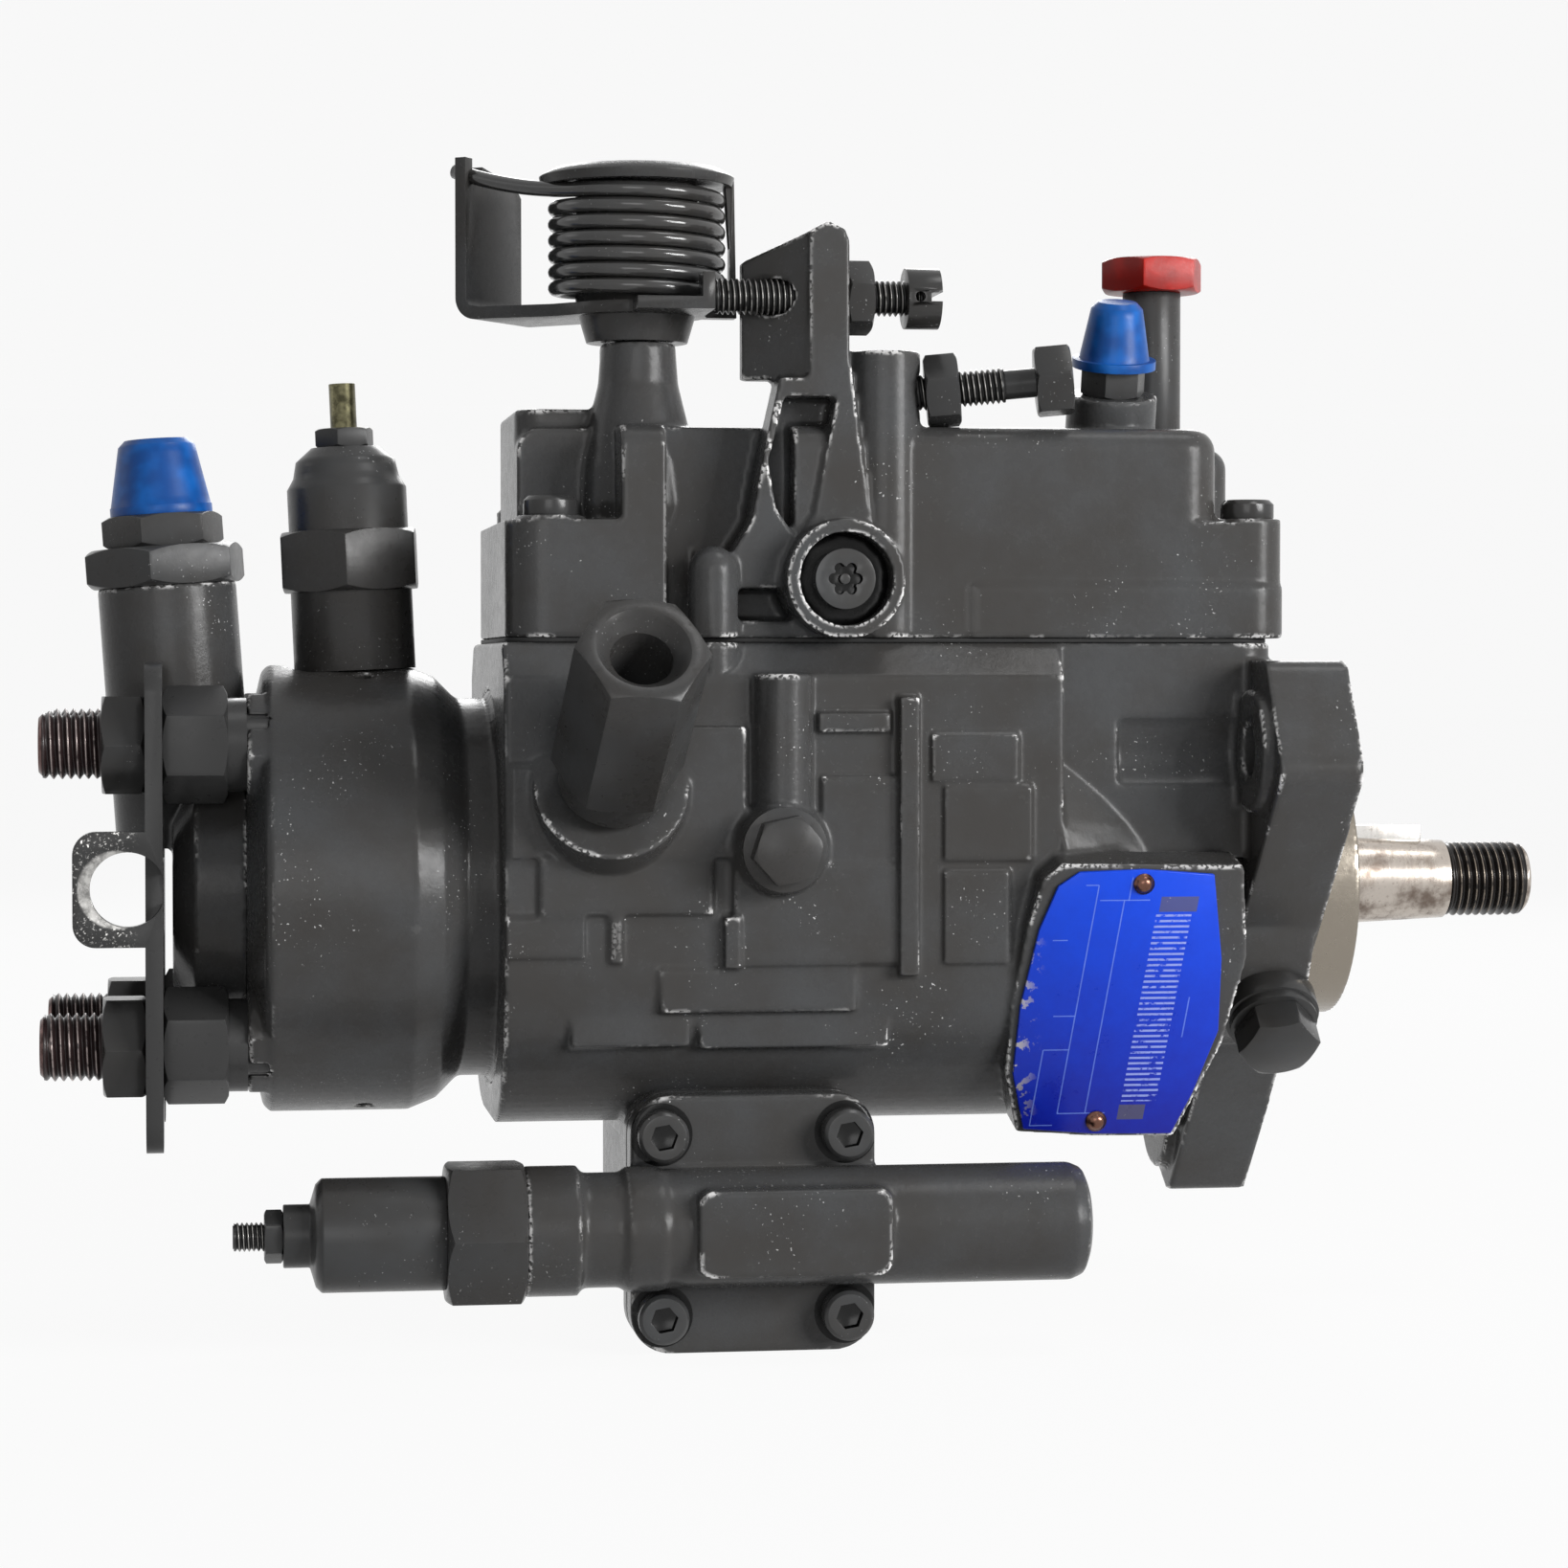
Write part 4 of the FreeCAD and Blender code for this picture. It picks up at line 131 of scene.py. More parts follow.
def face_pump(holder):
    """Turn a camera or a lamp to the middle of the pump."""
    holder.rotation_euler = (PUMP_MIDDLE - holder.location).to_track_quat("-Z", "Y").to_euler()


print("helpers", put_in_scene.__name__, face_pump.__name__)

# %% [markdown]
# The camera looks at the long side of the pump, a little from the left and hardly from above, through a
# long lens. A long lens keeps the round flange and the shaft from bulging. Its length was measured in
# pixels of the photo, and the width of the sensor turns that into the millimetres that Blender wants.

# %% Camera
CAMERA_SWING = math.radians(8.4)
CAMERA_REACH = 745
CAMERA_HEIGHT = 40
LENS_PIXELS = 4203
PHOTO_PIXELS = 1638
SENSOR_WIDTH = 36

camera_data = bpy.data.cameras.new("portrait_lens")
camera_data.lens = LENS_PIXELS / PHOTO_PIXELS * SENSOR_WIDTH
camera_data.sensor_width = SENSOR_WIDTH
camera_data.clip_end = 20
camera = put_in_scene("portrait_camera", camera_data)
camera.location = at(MIDDLE_X - CAMERA_REACH * math.sin(CAMERA_SWING),
                     -CAMERA_REACH * math.cos(CAMERA_SWING), CAMERA_HEIGHT)
face_pump(camera)
bpy.context.scene.camera = camera
bpy.context.scene.view_settings.view_transform = "Standard"
print("lens", round(camera_data.lens, 1), "mm")

# %% [markdown]
# One soft lamp stands far to the right, as in a shop's photo corner, and leaves the faces that look left
# nearly black. A weaker one in front keeps them readable, and a strip from above draws the bright line
# along the top edges. A small tall lamp is what the round painted parts mirror as white streaks. Two more
# stand left and behind, for the sides that the portrait doesn't show. A lamp of eleven watts, a metre
# away, shows a colour about as it is written.

# %% Lamps
def soft_lamp(name, direction, distance, watts, width, height):
    """A soft lamp that stands off from the pump along a direction."""
    lamp = bpy.data.lights.new(name, "AREA")
    lamp.shape = "RECTANGLE"
    lamp.size = width
    lamp.size_y = height
    lamp.energy = watts
    holder = put_in_scene(name, lamp)
    holder.location = PUMP_MIDDLE + Vector(direction).normalized() * distance
    face_pump(holder)


soft_lamp("key_lamp", (0.85, -0.8, 0.24), 1.2, 11.0, 0.44, 0.4)
soft_lamp("fill_lamp", (-0.22, -1.0, 0.15), 1.3, 2.2, 0.6, 0.5)
soft_lamp("top_lamp", (0.35, -0.2, 1.0), 1.1, 1.8, 0.4, 0.3)
soft_lamp("spark_lamp", (0.55, -0.83, 0.3), 1.3, 2.6, 0.06, 0.18)
soft_lamp("left_lamp", (-1.0, 0.2, 0.4), 1.5, 0.7, 0.5, 0.5)
soft_lamp("back_lamp", (0.2, 1.0, 0.5), 1.3, 5.0, 0.6, 0.5)

# %% [markdown]
# A finish is a small sum of masks and noises. Written as nodes it is hard to read, so one class wraps a
# socket and lets plus, minus and times add the Math nodes. Vectors go through Vector Math, and colours
# through Mix, because a Math node turns a colour grey.

# %% A socket that can be reckoned with
class Wire:
    """A socket, on which the signs of arithmetic add their own nodes."""

    def __init__(self, finish, socket):
        self.finish = finish
        self.socket = socket

    def reckon(self, operation, first, second=0.0):
        kind = "ShaderNodeVectorMath" if self.socket.type == "VECTOR" else "ShaderNodeMath"
        return self.finish.add(kind, {"operation": operation}, {0: first, 1: second})

    def __add__(self, other):
        return self.reckon("ADD", self, other)

    def __radd__(self, other):
        return self.reckon("ADD", other, self)

    def __sub__(self, other):
        return self.reckon("SUBTRACT", self, other)

    def __rsub__(self, other):
        return self.reckon("SUBTRACT", other, self)

    def __mul__(self, other):
        return self.reckon("MULTIPLY", self, other)

    def __rmul__(self, other):
        return self.reckon("MULTIPLY", other, self)

    def __truediv__(self, other):
        return self.reckon("DIVIDE", self, other)

    def __rtruediv__(self, other):
        return self.reckon("DIVIDE", other, self)

    def __pow__(self, other):
        return self.reckon("POWER", self, other)

    def __abs__(self):
        return self.reckon("ABSOLUTE", self)

    def fraction(self):
        return self.reckon("FRACT", self)

    def root(self):
        return self.reckon("SQRT", self)

    def above(self, level):
        return self.reckon("GREATER_THAN", self, level)

    def below(self, level):
        return self.reckon("LESS_THAN", self, level)

    def at_least(self, other):
        return self.reckon("MAXIMUM", self, other)

    def at_most(self, other):
        return self.reckon("MINIMUM", self, other)

    def from_to(self, low, high):
        """Nought below low, one above high, a soft step between."""
        settings = {"interpolation_type": "SMOOTHSTEP", "clamp": True}
        sockets = {0: self, 1: low, 2: high, 3: 0.0, 4: 1.0}
        return self.finish.add("ShaderNodeMapRange", settings, sockets)


print("arithmetic ready on", Wire.__name__)

# %% [markdown]
# A finish owns the nodes of one material, or of the world. Every node that isn't arithmetic comes from one
# method: the node's type, its settings, then the values or wires of its sockets. A Principled surface
# closes it.

# %% A finish
class Finish:
    """The nodes of one material, or of another owner."""

    def __init__(self, name, owner=None):
        self.owner = owner or bpy.data.materials.new(name)
        self.owner.use_nodes = True
        self.tree = self.owner.node_tree
        self.tree.nodes.clear()

    def add(self, kind, settings=None, sockets=None, out=None):
        """A new node. What comes back is the wire of the output called out, or of its first one."""
        node = self.tree.nodes.new(kind)
        for key, value in (settings or {}).items():
            setattr(node, key, value)
        for key, value in (sockets or {}).items():
            socket = self.find(node.inputs, key)
            if isinstance(value, Wire):
                self.tree.links.new(value.socket, socket)
            else:
                socket.default_value = value
        return Wire(self, self.find(node.outputs, out))

    def find(self, sockets, key):
        if isinstance(key, int):
            return sockets[key]
        return next((s for s in sockets if s.enabled and key in (None, s.name)), None)

    def place(self):
        """Where a point of the surface is, in millimetres."""
        metres = self.add("ShaderNodeTexCoord", None, None, "Object")
        return self.add("ShaderNodeVectorMath", {"operation": "SCALE"}, {0: metres, "Scale": 1 / MM})

    def along(self, place, axis):
        """How far a place lies along X, Y or Z."""
        return self.add("ShaderNodeSeparateXYZ", None, {0: place}, axis)

    def noise(self, size, detail, rough, place):
        """A noise whose blotches are about size millimetres across."""
        sockets = {"Vector": place, "Scale": 1.0 / size, "Detail": detail, "Roughness": rough}
        return self.add("ShaderNodeTexNoise", None, sockets, "Fac")

    def pointiness(self):
        """Above a half where a dense mesh sticks out, below it where the mesh is hollow."""
        return self.add("ShaderNodeNewGeometry", None, None, "Pointiness")

    def blend(self, share, first, second):
        """The first colour where the share is nought, the second where it is one."""
        settings = {"data_type": "RGBA", "clamp_factor": True}
        return self.add("ShaderNodeMix", settings, {0: share, 6: first, 7: second}, 2)

    def bump(self, height, depth_mm, strength=1.0, under=None):
        sockets = {"Height": height, "Distance": depth_mm * MM, "Strength": strength}
        if under is not None:
            sockets["Normal"] = under
        return self.add("ShaderNodeBump", None, sockets, "Normal")

    def close(self, **sockets):
        names = {key.replace("_", " "): value for key, value in sockets.items()}
        self.end_in(self.add("ShaderNodeBsdfPrincipled", None, names, "BSDF"))
        return self.owner

    def end_in(self, surface, kind="ShaderNodeOutputMaterial"):
        self.add(kind, None, {"Surface": surface})


def grey(level, warm=0.0):
    """A neutral colour, a little warm or cool."""
    return (level * (1 + warm), level, level * (1 - warm), 1.0)


print("finish helpers ready")

# %% [markdown]
# The pump stands on a plain pale floor. A camera sees it white; everything else sees an ordinary pale
# board. Part of the camera's view stays real, so the pump keeps its soft shadow. Metal mirrors the same
# white, so rays that come by a mirror or through glass count as the camera's own.

# %% Floor
BOARD = grey(0.82)
WHITE = grey(1.0)
REAL_SHARE = 0.07
FLOOR_PROFILE = [(-3.0, 0.0), (2.0, 0.0), (2.5, 0.08), (2.9, 0.35), (3.1, 0.8), (3.2, 3.0)]
FLOOR_SIDE = 4.0
LOWEST = cad_box[0][2]


def camera_rays(finish):
    """One for the camera's rays, straight, mirrored or through glass, and nought for all others."""
    straight = finish.add("ShaderNodeLightPath", None, None, "Is Camera Ray")
    outputs = straight.socket.node.outputs
    mirrored = Wire(finish, outputs["Is Glossy Ray"])
    through = Wire(finish, outputs["Is Transmission Ray"])
    return (straight + mirrored + through).at_most(1.0)


def paper(name, real_share):
    """A pale board that the camera sees as white, apart from its shadow."""
    finish = Finish(name)
    board = finish.add("ShaderNodeBsdfDiffuse", None, {"Color": BOARD})
    white = finish.add("ShaderNodeEmission", None, {"Color": WHITE, "Strength": 1.0})
    share = camera_rays(finish) * (1 - real_share)
    finish.end_in(finish.add("ShaderNodeMixShader", None, {0: share, 1: board, 2: white}))
    return finish.owner


def floor_sheet(height):
    """A wide sheet that rises in a soft curve behind the pump."""
    mesh = bpy.data.meshes.new("studio_floor")
    build = bmesh.new()
    left, right = [[build.verts.new((x, y, height + z)) for y, z in FLOOR_PROFILE]
                   for x in (-FLOOR_SIDE, FLOOR_SIDE)]
    for i in range(len(FLOOR_PROFILE) - 1):
        build.faces.new((left[i], left[i + 1], right[i + 1], right[i]))
    build.to_mesh(mesh)
    build.free()
    sheet = put_in_scene("studio_floor", mesh)
    sheet.data.materials.append(paper("studio_paper", REAL_SHARE))
    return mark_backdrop(sheet)


floor_sheet(LOWEST)
print("floor at", round(LOWEST, 4))

# %% [markdown]
# The room behind the floor is the same trick: white for the camera, and nearly dark for the pump. The dim
# light that it does give keeps the deepest shadows from going flat black.

# %% Room
ROOM_LIGHT = 0.06

world = bpy.data.worlds.new("studio_room")
bpy.context.scene.world = world
room = Finish("studio_room", world)
dim = room.add("ShaderNodeBackground", None, {"Color": WHITE, "Strength": ROOM_LIGHT})
bright = room.add("ShaderNodeBackground", None, {"Color": WHITE, "Strength": 1.0})
walls = room.add("ShaderNodeMixShader", None, {0: camera_rays(room), 1: dim, 2: bright})
room.end_in(walls, "ShaderNodeOutputWorld")
print("room light", ROOM_LIGHT)

# %% [markdown]
# The castings and most small parts wear one dark grey enamel, sprayed over a sand cast skin. It has an
# orange peel of a millimetre or two and a finer grit under it. On ridges the colour is lightened as a
# painted highlight that breaks into bright painted glints, and in the inner corners it stays dull and is
# darkened to nearly black as a painted shade. Pointiness, which tells how far a spot of a dense mesh
# sticks out, finds both, so no map has to be painted by hand. A finish may get two masks of its own:
# where the metal is machined bare, and where shade is painted into a hole.

# %% Enamel
PAINT_SHINE = 0.17
HOLLOW = (0.38, 0.472)
RIDGE = (0.515, 0.555)
PEEL_SIZE = 1.6
PAINTED_GLINT = grey(0.85, 0.01)
LOOSE_SPECK = grey(0.7)
TURNED_BARE = (0.27, 0.24, 0.2, 1)


def enamel(name, level=0.062, grit=1.0, gloss=0.26, ridges=True, shine=PAINT_SHINE, masked=None, dark=None):
    """Dark grey enamel, with more or less of the casting's grit showing through."""
    finish = Finish(name)
    place = finish.place()
    cloud = finish.noise(22, 4, 0.6, place)
    peel = finish.noise(PEEL_SIZE, 2, 0.5, place)
    sand = finish.noise(0.5, 3, 0.65, place)
    salt = finish.noise(0.5, 1, 0.5, place).from_to(0.72, 0.75)
    strewn = finish.noise(16.0, 2, 0.5, place).from_to(0.54, 0.62)
    colour = finish.blend(cloud.from_to(0.3, 0.75), grey(level * 0.82, 0.05), grey(level * 1.15, -0.03))
    rough = gloss + (peel - 0.5) * 0.16 + (cloud - 0.5) * 0.14
    if ridges:
        specks = finish.noise(0.7, 1, 0.5, place).from_to(0.4, 0.5)
        patches = finish.noise(9.0, 3, 0.6, place).from_to(0.47, 0.53)
        point = finish.pointiness()
        hollow = 1 - point.from_to(*HOLLOW)
        ridge = point.from_to(*RIDGE)
        # Painted shade: the inner corners are darkened to nearly black.
        colour = finish.blend(hollow * 0.9, colour, grey(level * 0.05))
        # Painted highlight: the ridges are lightened, and bright painted glints are strewn on them.
        colour = finish.blend(ridge * 0.35, colour, grey(level * 2.0, 0.01))
        colour = finish.blend(ridge * specks * patches, colour, PAINTED_GLINT)
        rough = rough + hollow * 0.25 - ridge * 0.1
    colour = finish.blend(salt * strewn * 0.8 * grit, colour, LOOSE_SPECK)
    if dark is not None:
        # Painted shade in the wells of the screws, where a finish is given one.
        colour = finish.blend(dark(finish, place) * 0.94, colour, grey(level * 0.05))
    metal = 0.0
    if masked is not None:
        bare = masked(finish, place)
        metal = bare * 0.9
        colour = finish.blend(bare, colour, TURNED_BARE)
    coarse = finish.bump(peel, 0.06 * grit, 0.5)
    fine = finish.bump(sand, 0.035 * grit, 0.5, coarse)
    return finish.close(Base_Color=colour, Roughness=rough, Normal=fine, Metallic=metal,
                        Specular_IOR_Level=shine)


print("orange peel", PEEL_SIZE, "mm, shine", PAINT_SHINE)

# %% [markdown]
# The locating ring in front of the flange is turned after painting, so it is bare steel. The tamper proof
# screw and the four screws of the valve plate sit in wells that the light hardly reaches, and their own
# sockets are darker still. Lamps small enough to leave such holes black would spoil the soft look, so a
# mask paints their shade on as a darker colour: it is one inside a circle seen along Y.

# %% Machined and shaded places
SPIGOT_FROM = 0.4
ANY_DEPTH = -200.0
TORX_MIDDLE = [(-89.2, 55.6)]
TORX_FACE = min(corner[1] for corner in nodes["torx_screw"].bound_box) / MM
VALVE_MIDDLE = (-106, -56.8)
PLATE_SCREWS = [(VALVE_MIDDLE[0] + a, VALVE_MIDDLE[1] + b) for a in (-16.2, 16.2) for b in (-15.8, 15.8)]
PLATE_SCREW_FACE = -50.0


def machined_spigot(finish, place):
    """The locating ring in front of the flange."""
    return finish.along(place, "X").from_to(SPIGOT_FROM, SPIGOT_FROM + 0.3)


def wells(finish, place, middles, radius, face=ANY_DEPTH):
    """One inside round wells that run along Y, and deeper than their face."""
    x, y, z = [finish.along(place, axis) for axis in "XYZ"]
    inside = 0.0
    for middle_x, middle_z in middles:
        away = (x - middle_x) ** 2.0 + (z - middle_z) ** 2.0
        inside = away.below(radius * radius) + inside
    return inside * y.above(face)


# Painted shade in the well round the tamper proof screw.
def torx_well_shade(finish, place):
    return wells(finish, place, TORX_MIDDLE, 8.15)


def torx_socket_shade(finish, place):
    """Painted shade in the star of the socket, round the pin that stands in its middle."""
    star = wells(finish, place, TORX_MIDDLE, 3.6, TORX_FACE + 0.25)
    return star * (1 - wells(finish, place, TORX_MIDDLE, 1.0))


# Painted shade round the heads of the valve plate's screws, and inside their sockets.
def plate_screw_shadows(finish, place):
    return wells(finish, place, PLATE_SCREWS, 5.5)


def plate_socket_shade(finish, place):
    return wells(finish, place, PLATE_SCREWS, 2.6, PLATE_SCREW_FACE + 0.3)


print("screws in wells", len(TORX_MIDDLE + PLATE_SCREWS))

# %% [markdown]
# The big castings differ only in their masks. Small turned parts have no grit to speak of, and their paint
# is smoother, so it mirrors the lamps more sharply. They have too few faces for pointiness to mean
# anything, so it is left off.

# %% The pump's enamels
SOCKET_SCREW = {"level": 0.05, "grit": 0.4, "gloss": 0.22, "ridges": False, "shine": 0.3}
DARK_SCREW = dict(SOCKET_SCREW, level=0.035)

casting_enamel = enamel("casting_enamel")
housing_enamel = enamel("housing_enamel", masked=machined_spigot)
cover_enamel = enamel("cover_enamel", dark=torx_well_shade)
valve_enamel = enamel("valve_enamel", dark=plate_screw_shadows)
torx_enamel = enamel("torx_enamel", dark=torx_socket_shade, **SOCKET_SCREW)
cap_screw_enamel = enamel("cap_screw_enamel", dark=plate_socket_shade, **SOCKET_SCREW)
screw_enamel = enamel("screw_enamel", **DARK_SCREW)
fitting_enamel = enamel("fitting_enamel", level=0.05, grit=0.5, gloss=0.3, ridges=False, shine=0.2)
lever_enamel = enamel("lever_enamel", level=0.052, grit=0.5, ridges=False)
spring_enamel = enamel("spring_enamel", level=0.042, grit=0.3, gloss=0.15, ridges=False, shine=0.5)
print("enamels", casting_enamel.name, fitting_enamel.name, screw_enamel.name)

# %% [markdown]
# Three parts are only partly painted. The unions were masked at their pipe ends, which show rusty pink
# steel. The keeper strip's eye has lost its paint to hooks and wires, down to bright scratches. The stud
# of the solenoid's terminal is dull yellow above its nut. All three are one finish with a mask, because
# what changes is only where the paint ends.

# %% Worn enamel
UNION_MASK = (-219.6, -219.0)
NUT_TOP = 83.5
EYE_MIDDLE = (-215.4, 1.7)
EYE_HOLE = 6.5
EYE_SPAN = (-214.0, -211.5)


def worn_enamel(name, bare_share, bare_colour, level=0.045):
    """Enamel with bare metal where bare_share, a function of the finish and the place, is one."""
    finish = Finish(name)
    place = finish.place()
    bare = bare_share(finish, place)
    peel = finish.noise(PEEL_SIZE, 2, 0.5, place)
    stain = finish.noise(2.5, 4, 0.65, place).from_to(0.4, 0.65)
    stained = tuple(0.35 * part for part in bare_colour[:3]) + (1.0,)
    colour = finish.blend(bare, grey(level), finish.blend(stain, bare_colour, stained))
    rough = 0.3 + (peel - 0.5) * 0.15
    return finish.close(Base_Color=colour, Metallic=bare * 0.9, Roughness=rough,
                        Specular_IOR_Level=PAINT_SHINE, Normal=finish.bump(peel, 0.03, 0.4))


def masked_pipe_end(finish, place):
    return 1 - finish.along(place, "X").from_to(*UNION_MASK)


def scuffed_eye(finish, place):
    """Scratches on the strip's bent end, and a bright rim round its hole: worn metal with a painted highlight
    on the hole's edge.
    """
    x = finish.along(place, "X")
    z = finish.along(place, "Z")
    eye = 1 - x.from_to(*EYE_SPAN)
    away = ((x - EYE_MIDDLE[0]) ** 2.0 + (z - EYE_MIDDLE[1]) ** 2.0).root()
    # A bright rim round the hole: worn metal, with a painted highlight on the hole's edge.
    rim = 1 - away.from_to(EYE_HOLE, EYE_HOLE + 0.5)
    scuffs = finish.noise(0.7, 4, 0.75, place).from_to(0.56, 0.62)
    return eye * scuffs.at_least(rim * 0.8)


def above_nut(finish, place):
    return finish.along(place, "Z").above(NUT_TOP)


union_finish = worn_enamel("union_finish", masked_pipe_end, (0.12, 0.075, 0.07, 1))
keeper_finish = worn_enamel("keeper_finish", scuffed_eye, (0.6, 0.59, 0.57, 1))
terminal_finish = worn_enamel("terminal_finish", above_nut, (0.14, 0.13, 0.075, 1))
print("worn finishes", union_finish.name, keeper_finish.name, terminal_finish.name)

# %% [markdown]
# Bare steel is a mirror with fine turning marks. The marks run round the axis of each part, so a noise
# that is stretched hard across one axis stands for them, and a slow noise dulls the oiled patches.

# %% Bare metals
MARK_SQUEEZE = (1.0, 0.06, 0.06)


def bare_metal(name, colour, dark, gloss, marks_mm, stain=0.5):
    """Metal turned about the X axis, with marks round it and oily stains."""
    finish = Finish(name)
    place = finish.place()
    marks = finish.noise(marks_mm, 3, 0.6, place * MARK_SQUEEZE)
    film = finish.noise(6.0, 4, 0.65, place).from_to(0.42, 0.7)
    pits = finish.noise(0.7, 2, 0.5, place).from_to(0.62, 0.72)
    tint = finish.blend(film * stain, colour, dark)
    tint = finish.blend(pits * 0.35, tint, dark)
    rough = gloss + film * 0.18 + (marks - 0.5) * 0.2
    return finish.close(Base_Color=tint, Metallic=1.0, Roughness=rough, Normal=finish.bump(marks, 0.012, 0.4))


bright_steel = bare_metal("bright_steel", (0.72, 0.7, 0.67, 1), (0.2, 0.16, 0.13, 1), 0.16, 0.35, 0.75)
dull_steel = bare_metal("dull_steel", (0.4, 0.36, 0.34, 1), (0.16, 0.12, 0.1, 1), 0.34, 0.5)
spring_steel = bare_metal("spring_steel", (0.19, 0.185, 0.185, 1), (0.06, 0.058, 0.056, 1), 0.24, 0.8)
shaft_steel = bare_metal("shaft_steel", (0.5, 0.45, 0.4, 1), (0.13, 0.095, 0.075, 1), 0.2, 0.35, 0.9)
rivet_brass = bare_metal("rivet_brass", (0.15, 0.075, 0.055, 1), (0.05, 0.025, 0.02, 1), 0.26, 0.6)
bronze = bare_metal("bronze", (0.45, 0.28, 0.13, 1), (0.2, 0.12, 0.06, 1), 0.35, 0.5)
print("metals", bright_steel.name, dull_steel.name, shaft_steel.name)

# %% [markdown]
# A used thread is dark in its root, where oil and paint stay, and bright on its crest, where the nut has
# rubbed. Pointiness tells one from the other, and a noise leaves some crests dark.

# %% Worn threads
CREST = (0.53, 0.6)


def worn_thread(name, root, crest, gloss=0.3):
    """A thread that stays dark in its root while its crest is rubbed bright."""
    finish = Finish(name)
    touched = finish.noise(2.2, 3, 0.6, finish.place()).from_to(0.34, 0.5)
    rubbed = finish.pointiness().from_to(*CREST) * touched
    colour = finish.blend(rubbed, root, crest)
    return finish.close(Base_Color=colour, Metallic=rubbed * 0.9, Roughness=gloss, Specular_IOR_Level=0.3)


pipe_thread_steel = worn_thread("pipe_thread_steel", (0.022, 0.013, 0.013, 1), (0.5, 0.42, 0.4, 1))
screw_thread_steel = worn_thread("screw_thread_steel", grey(0.012), (0.42, 0.41, 0.39, 1))
shaft_thread_steel = worn_thread("shaft_thread_steel", (0.012, 0.01, 0.009, 1), (0.3, 0.25, 0.2, 1), 0.24)
print("threads", pipe_thread_steel.name, screw_thread_steel.name, shaft_thread_steel.name)

# %% [markdown]
# The dust caps are soft polythene: a saturated colour, a broad gloss and a skin that is never quite flat.
# The gasket and the seal are near black rubbered sheet with a dull, pitted skin. Both need the same nodes,
# a slow wave and a fine skin, and differ in colour and gloss.

# %% Plastics and rubber
def moulded(name, colour, shade, gloss):
    """A moulded skin that waves a little, with painted shade in the hollows of its waves."""
    finish = Finish(name)
    place = finish.place()
    wave = finish.noise(5.0, 2, 0.5, place)
    skin = finish.noise(0.5, 3, 0.6, place)
    # Painted shade: the colour is darker where the wave's bump is hollow.
    tint = finish.blend(wave.from_to(0.35, 0.7), shade, colour)
    rough = gloss + (skin - 0.5) * 0.2
    normal = finish.bump(skin, 0.02, 0.4, finish.bump(wave, 0.15, 0.4))
    return finish.close(Base_Color=tint, Roughness=rough, Normal=normal, Specular_IOR_Level=0.25)


blue_cap = moulded("blue_cap", (0.006, 0.12, 0.46, 1), (0.004, 0.065, 0.28, 1), 0.36)
red_cap = moulded("red_cap_plastic", (0.46, 0.008, 0.002, 1), (0.27, 0.004, 0.001, 1), 0.34)
rubber = moulded("sealing_rubber", grey(0.02), grey(0.014), 0.6)
print("plastics", blue_cap.name, red_cap.name, rubber.name)

# %% [markdown]
# The name plate is anodised blue with fine pale rules, dark fields and a column of evenly spaced ticks.
# Nothing is written on it here. Its print is an expression over two numbers: how far a point lies across
# the plate and how far up it. A rule is where one of them stays near a value, and a field is where both
# lie between two. Each row of rules holds that value, and where the rule starts and ends. Print made of
# numbers stays sharp at any distance, where a picture would blur.

# %% Print of the name plate
PLATE_MIDDLE = (-37.5, -41.0, -19.5)
PLATE_LEAN = math.radians(14)
PRINT_SLANT = 0.124
RULE_HALF = 0.11
UPRIGHT_RULES = [(-10.26, -20.3, 22.2), (-5.2, -20.3, 19.4), (-14.9, -22.5, -8.3), (-4.4, 19.3, 23.6),
                 (9.9, -6.2, 1.3)]
LEVEL_RULES = [(22.2, -12.6, -10.3), (19.4, -9.6, -0.6), (-8.3, -14.9, -10.3), (-20.3, -10.3, -1.6),
               (-22.5, -14.9, -10.8), (12.1, -16.8, -14.1), (-2.0, -14.2, -10.3)]
TICK_FIELD = (1.0, 7.4, -18.2, 16.8)
TICK_STEP = 1.02
TOP_FIELD = (1.4, 8.2, 17.2, 20.0)
LOW_FIELD = (0.8, 5.6, -21.6, -18.8)


def rules(across, up):
    """One on the fine lines of the print."""
    marks = 0.0
    for middle, low, high in UPRIGHT_RULES:
        marks = abs(across - middle).below(RULE_HALF) * up.above(low) * up.below(high) + marks
    for middle, low, high in LEVEL_RULES:
        marks = abs(up - middle).below(RULE_HALF) * across.above(low) * across.below(high) + marks
    return marks


def field(across, up, left, right, low, high):
    """One inside a rectangle of the print."""
    return across.above(left) * across.below(right) * up.above(low) * up.below(high)


print("rules", len(UPRIGHT_RULES + LEVEL_RULES))

# %% [markdown]
# The plate leans with the casting's shoulder, and its print slants a little on it. So the two numbers come
# first, from the place and the two angles. The colours then go on in the order in which a plate gets them:
# blue dye, here with painted light and shade that make it lighter towards the top and darker towards the
# bottom, then pale rules and ticks, dark fields, and at last the wear that bares the metal.

# %% Name plate
BLUE_IN_PAINTED_SHADE = (0.006, 0.012, 0.3, 1)
BLUE_IN_PAINTED_LIGHT = (0.004, 0.065, 0.72, 1)
PALE_RULE = (0.16, 0.26, 0.75, 1)
PALE_TICK = (0.3, 0.36, 0.74, 1)
DARK_FIELD = (0.09, 0.085, 0.085, 1)
BARE_SHEET = (0.5, 0.47, 0.42, 1)
WORN_EDGE_X = -59.5


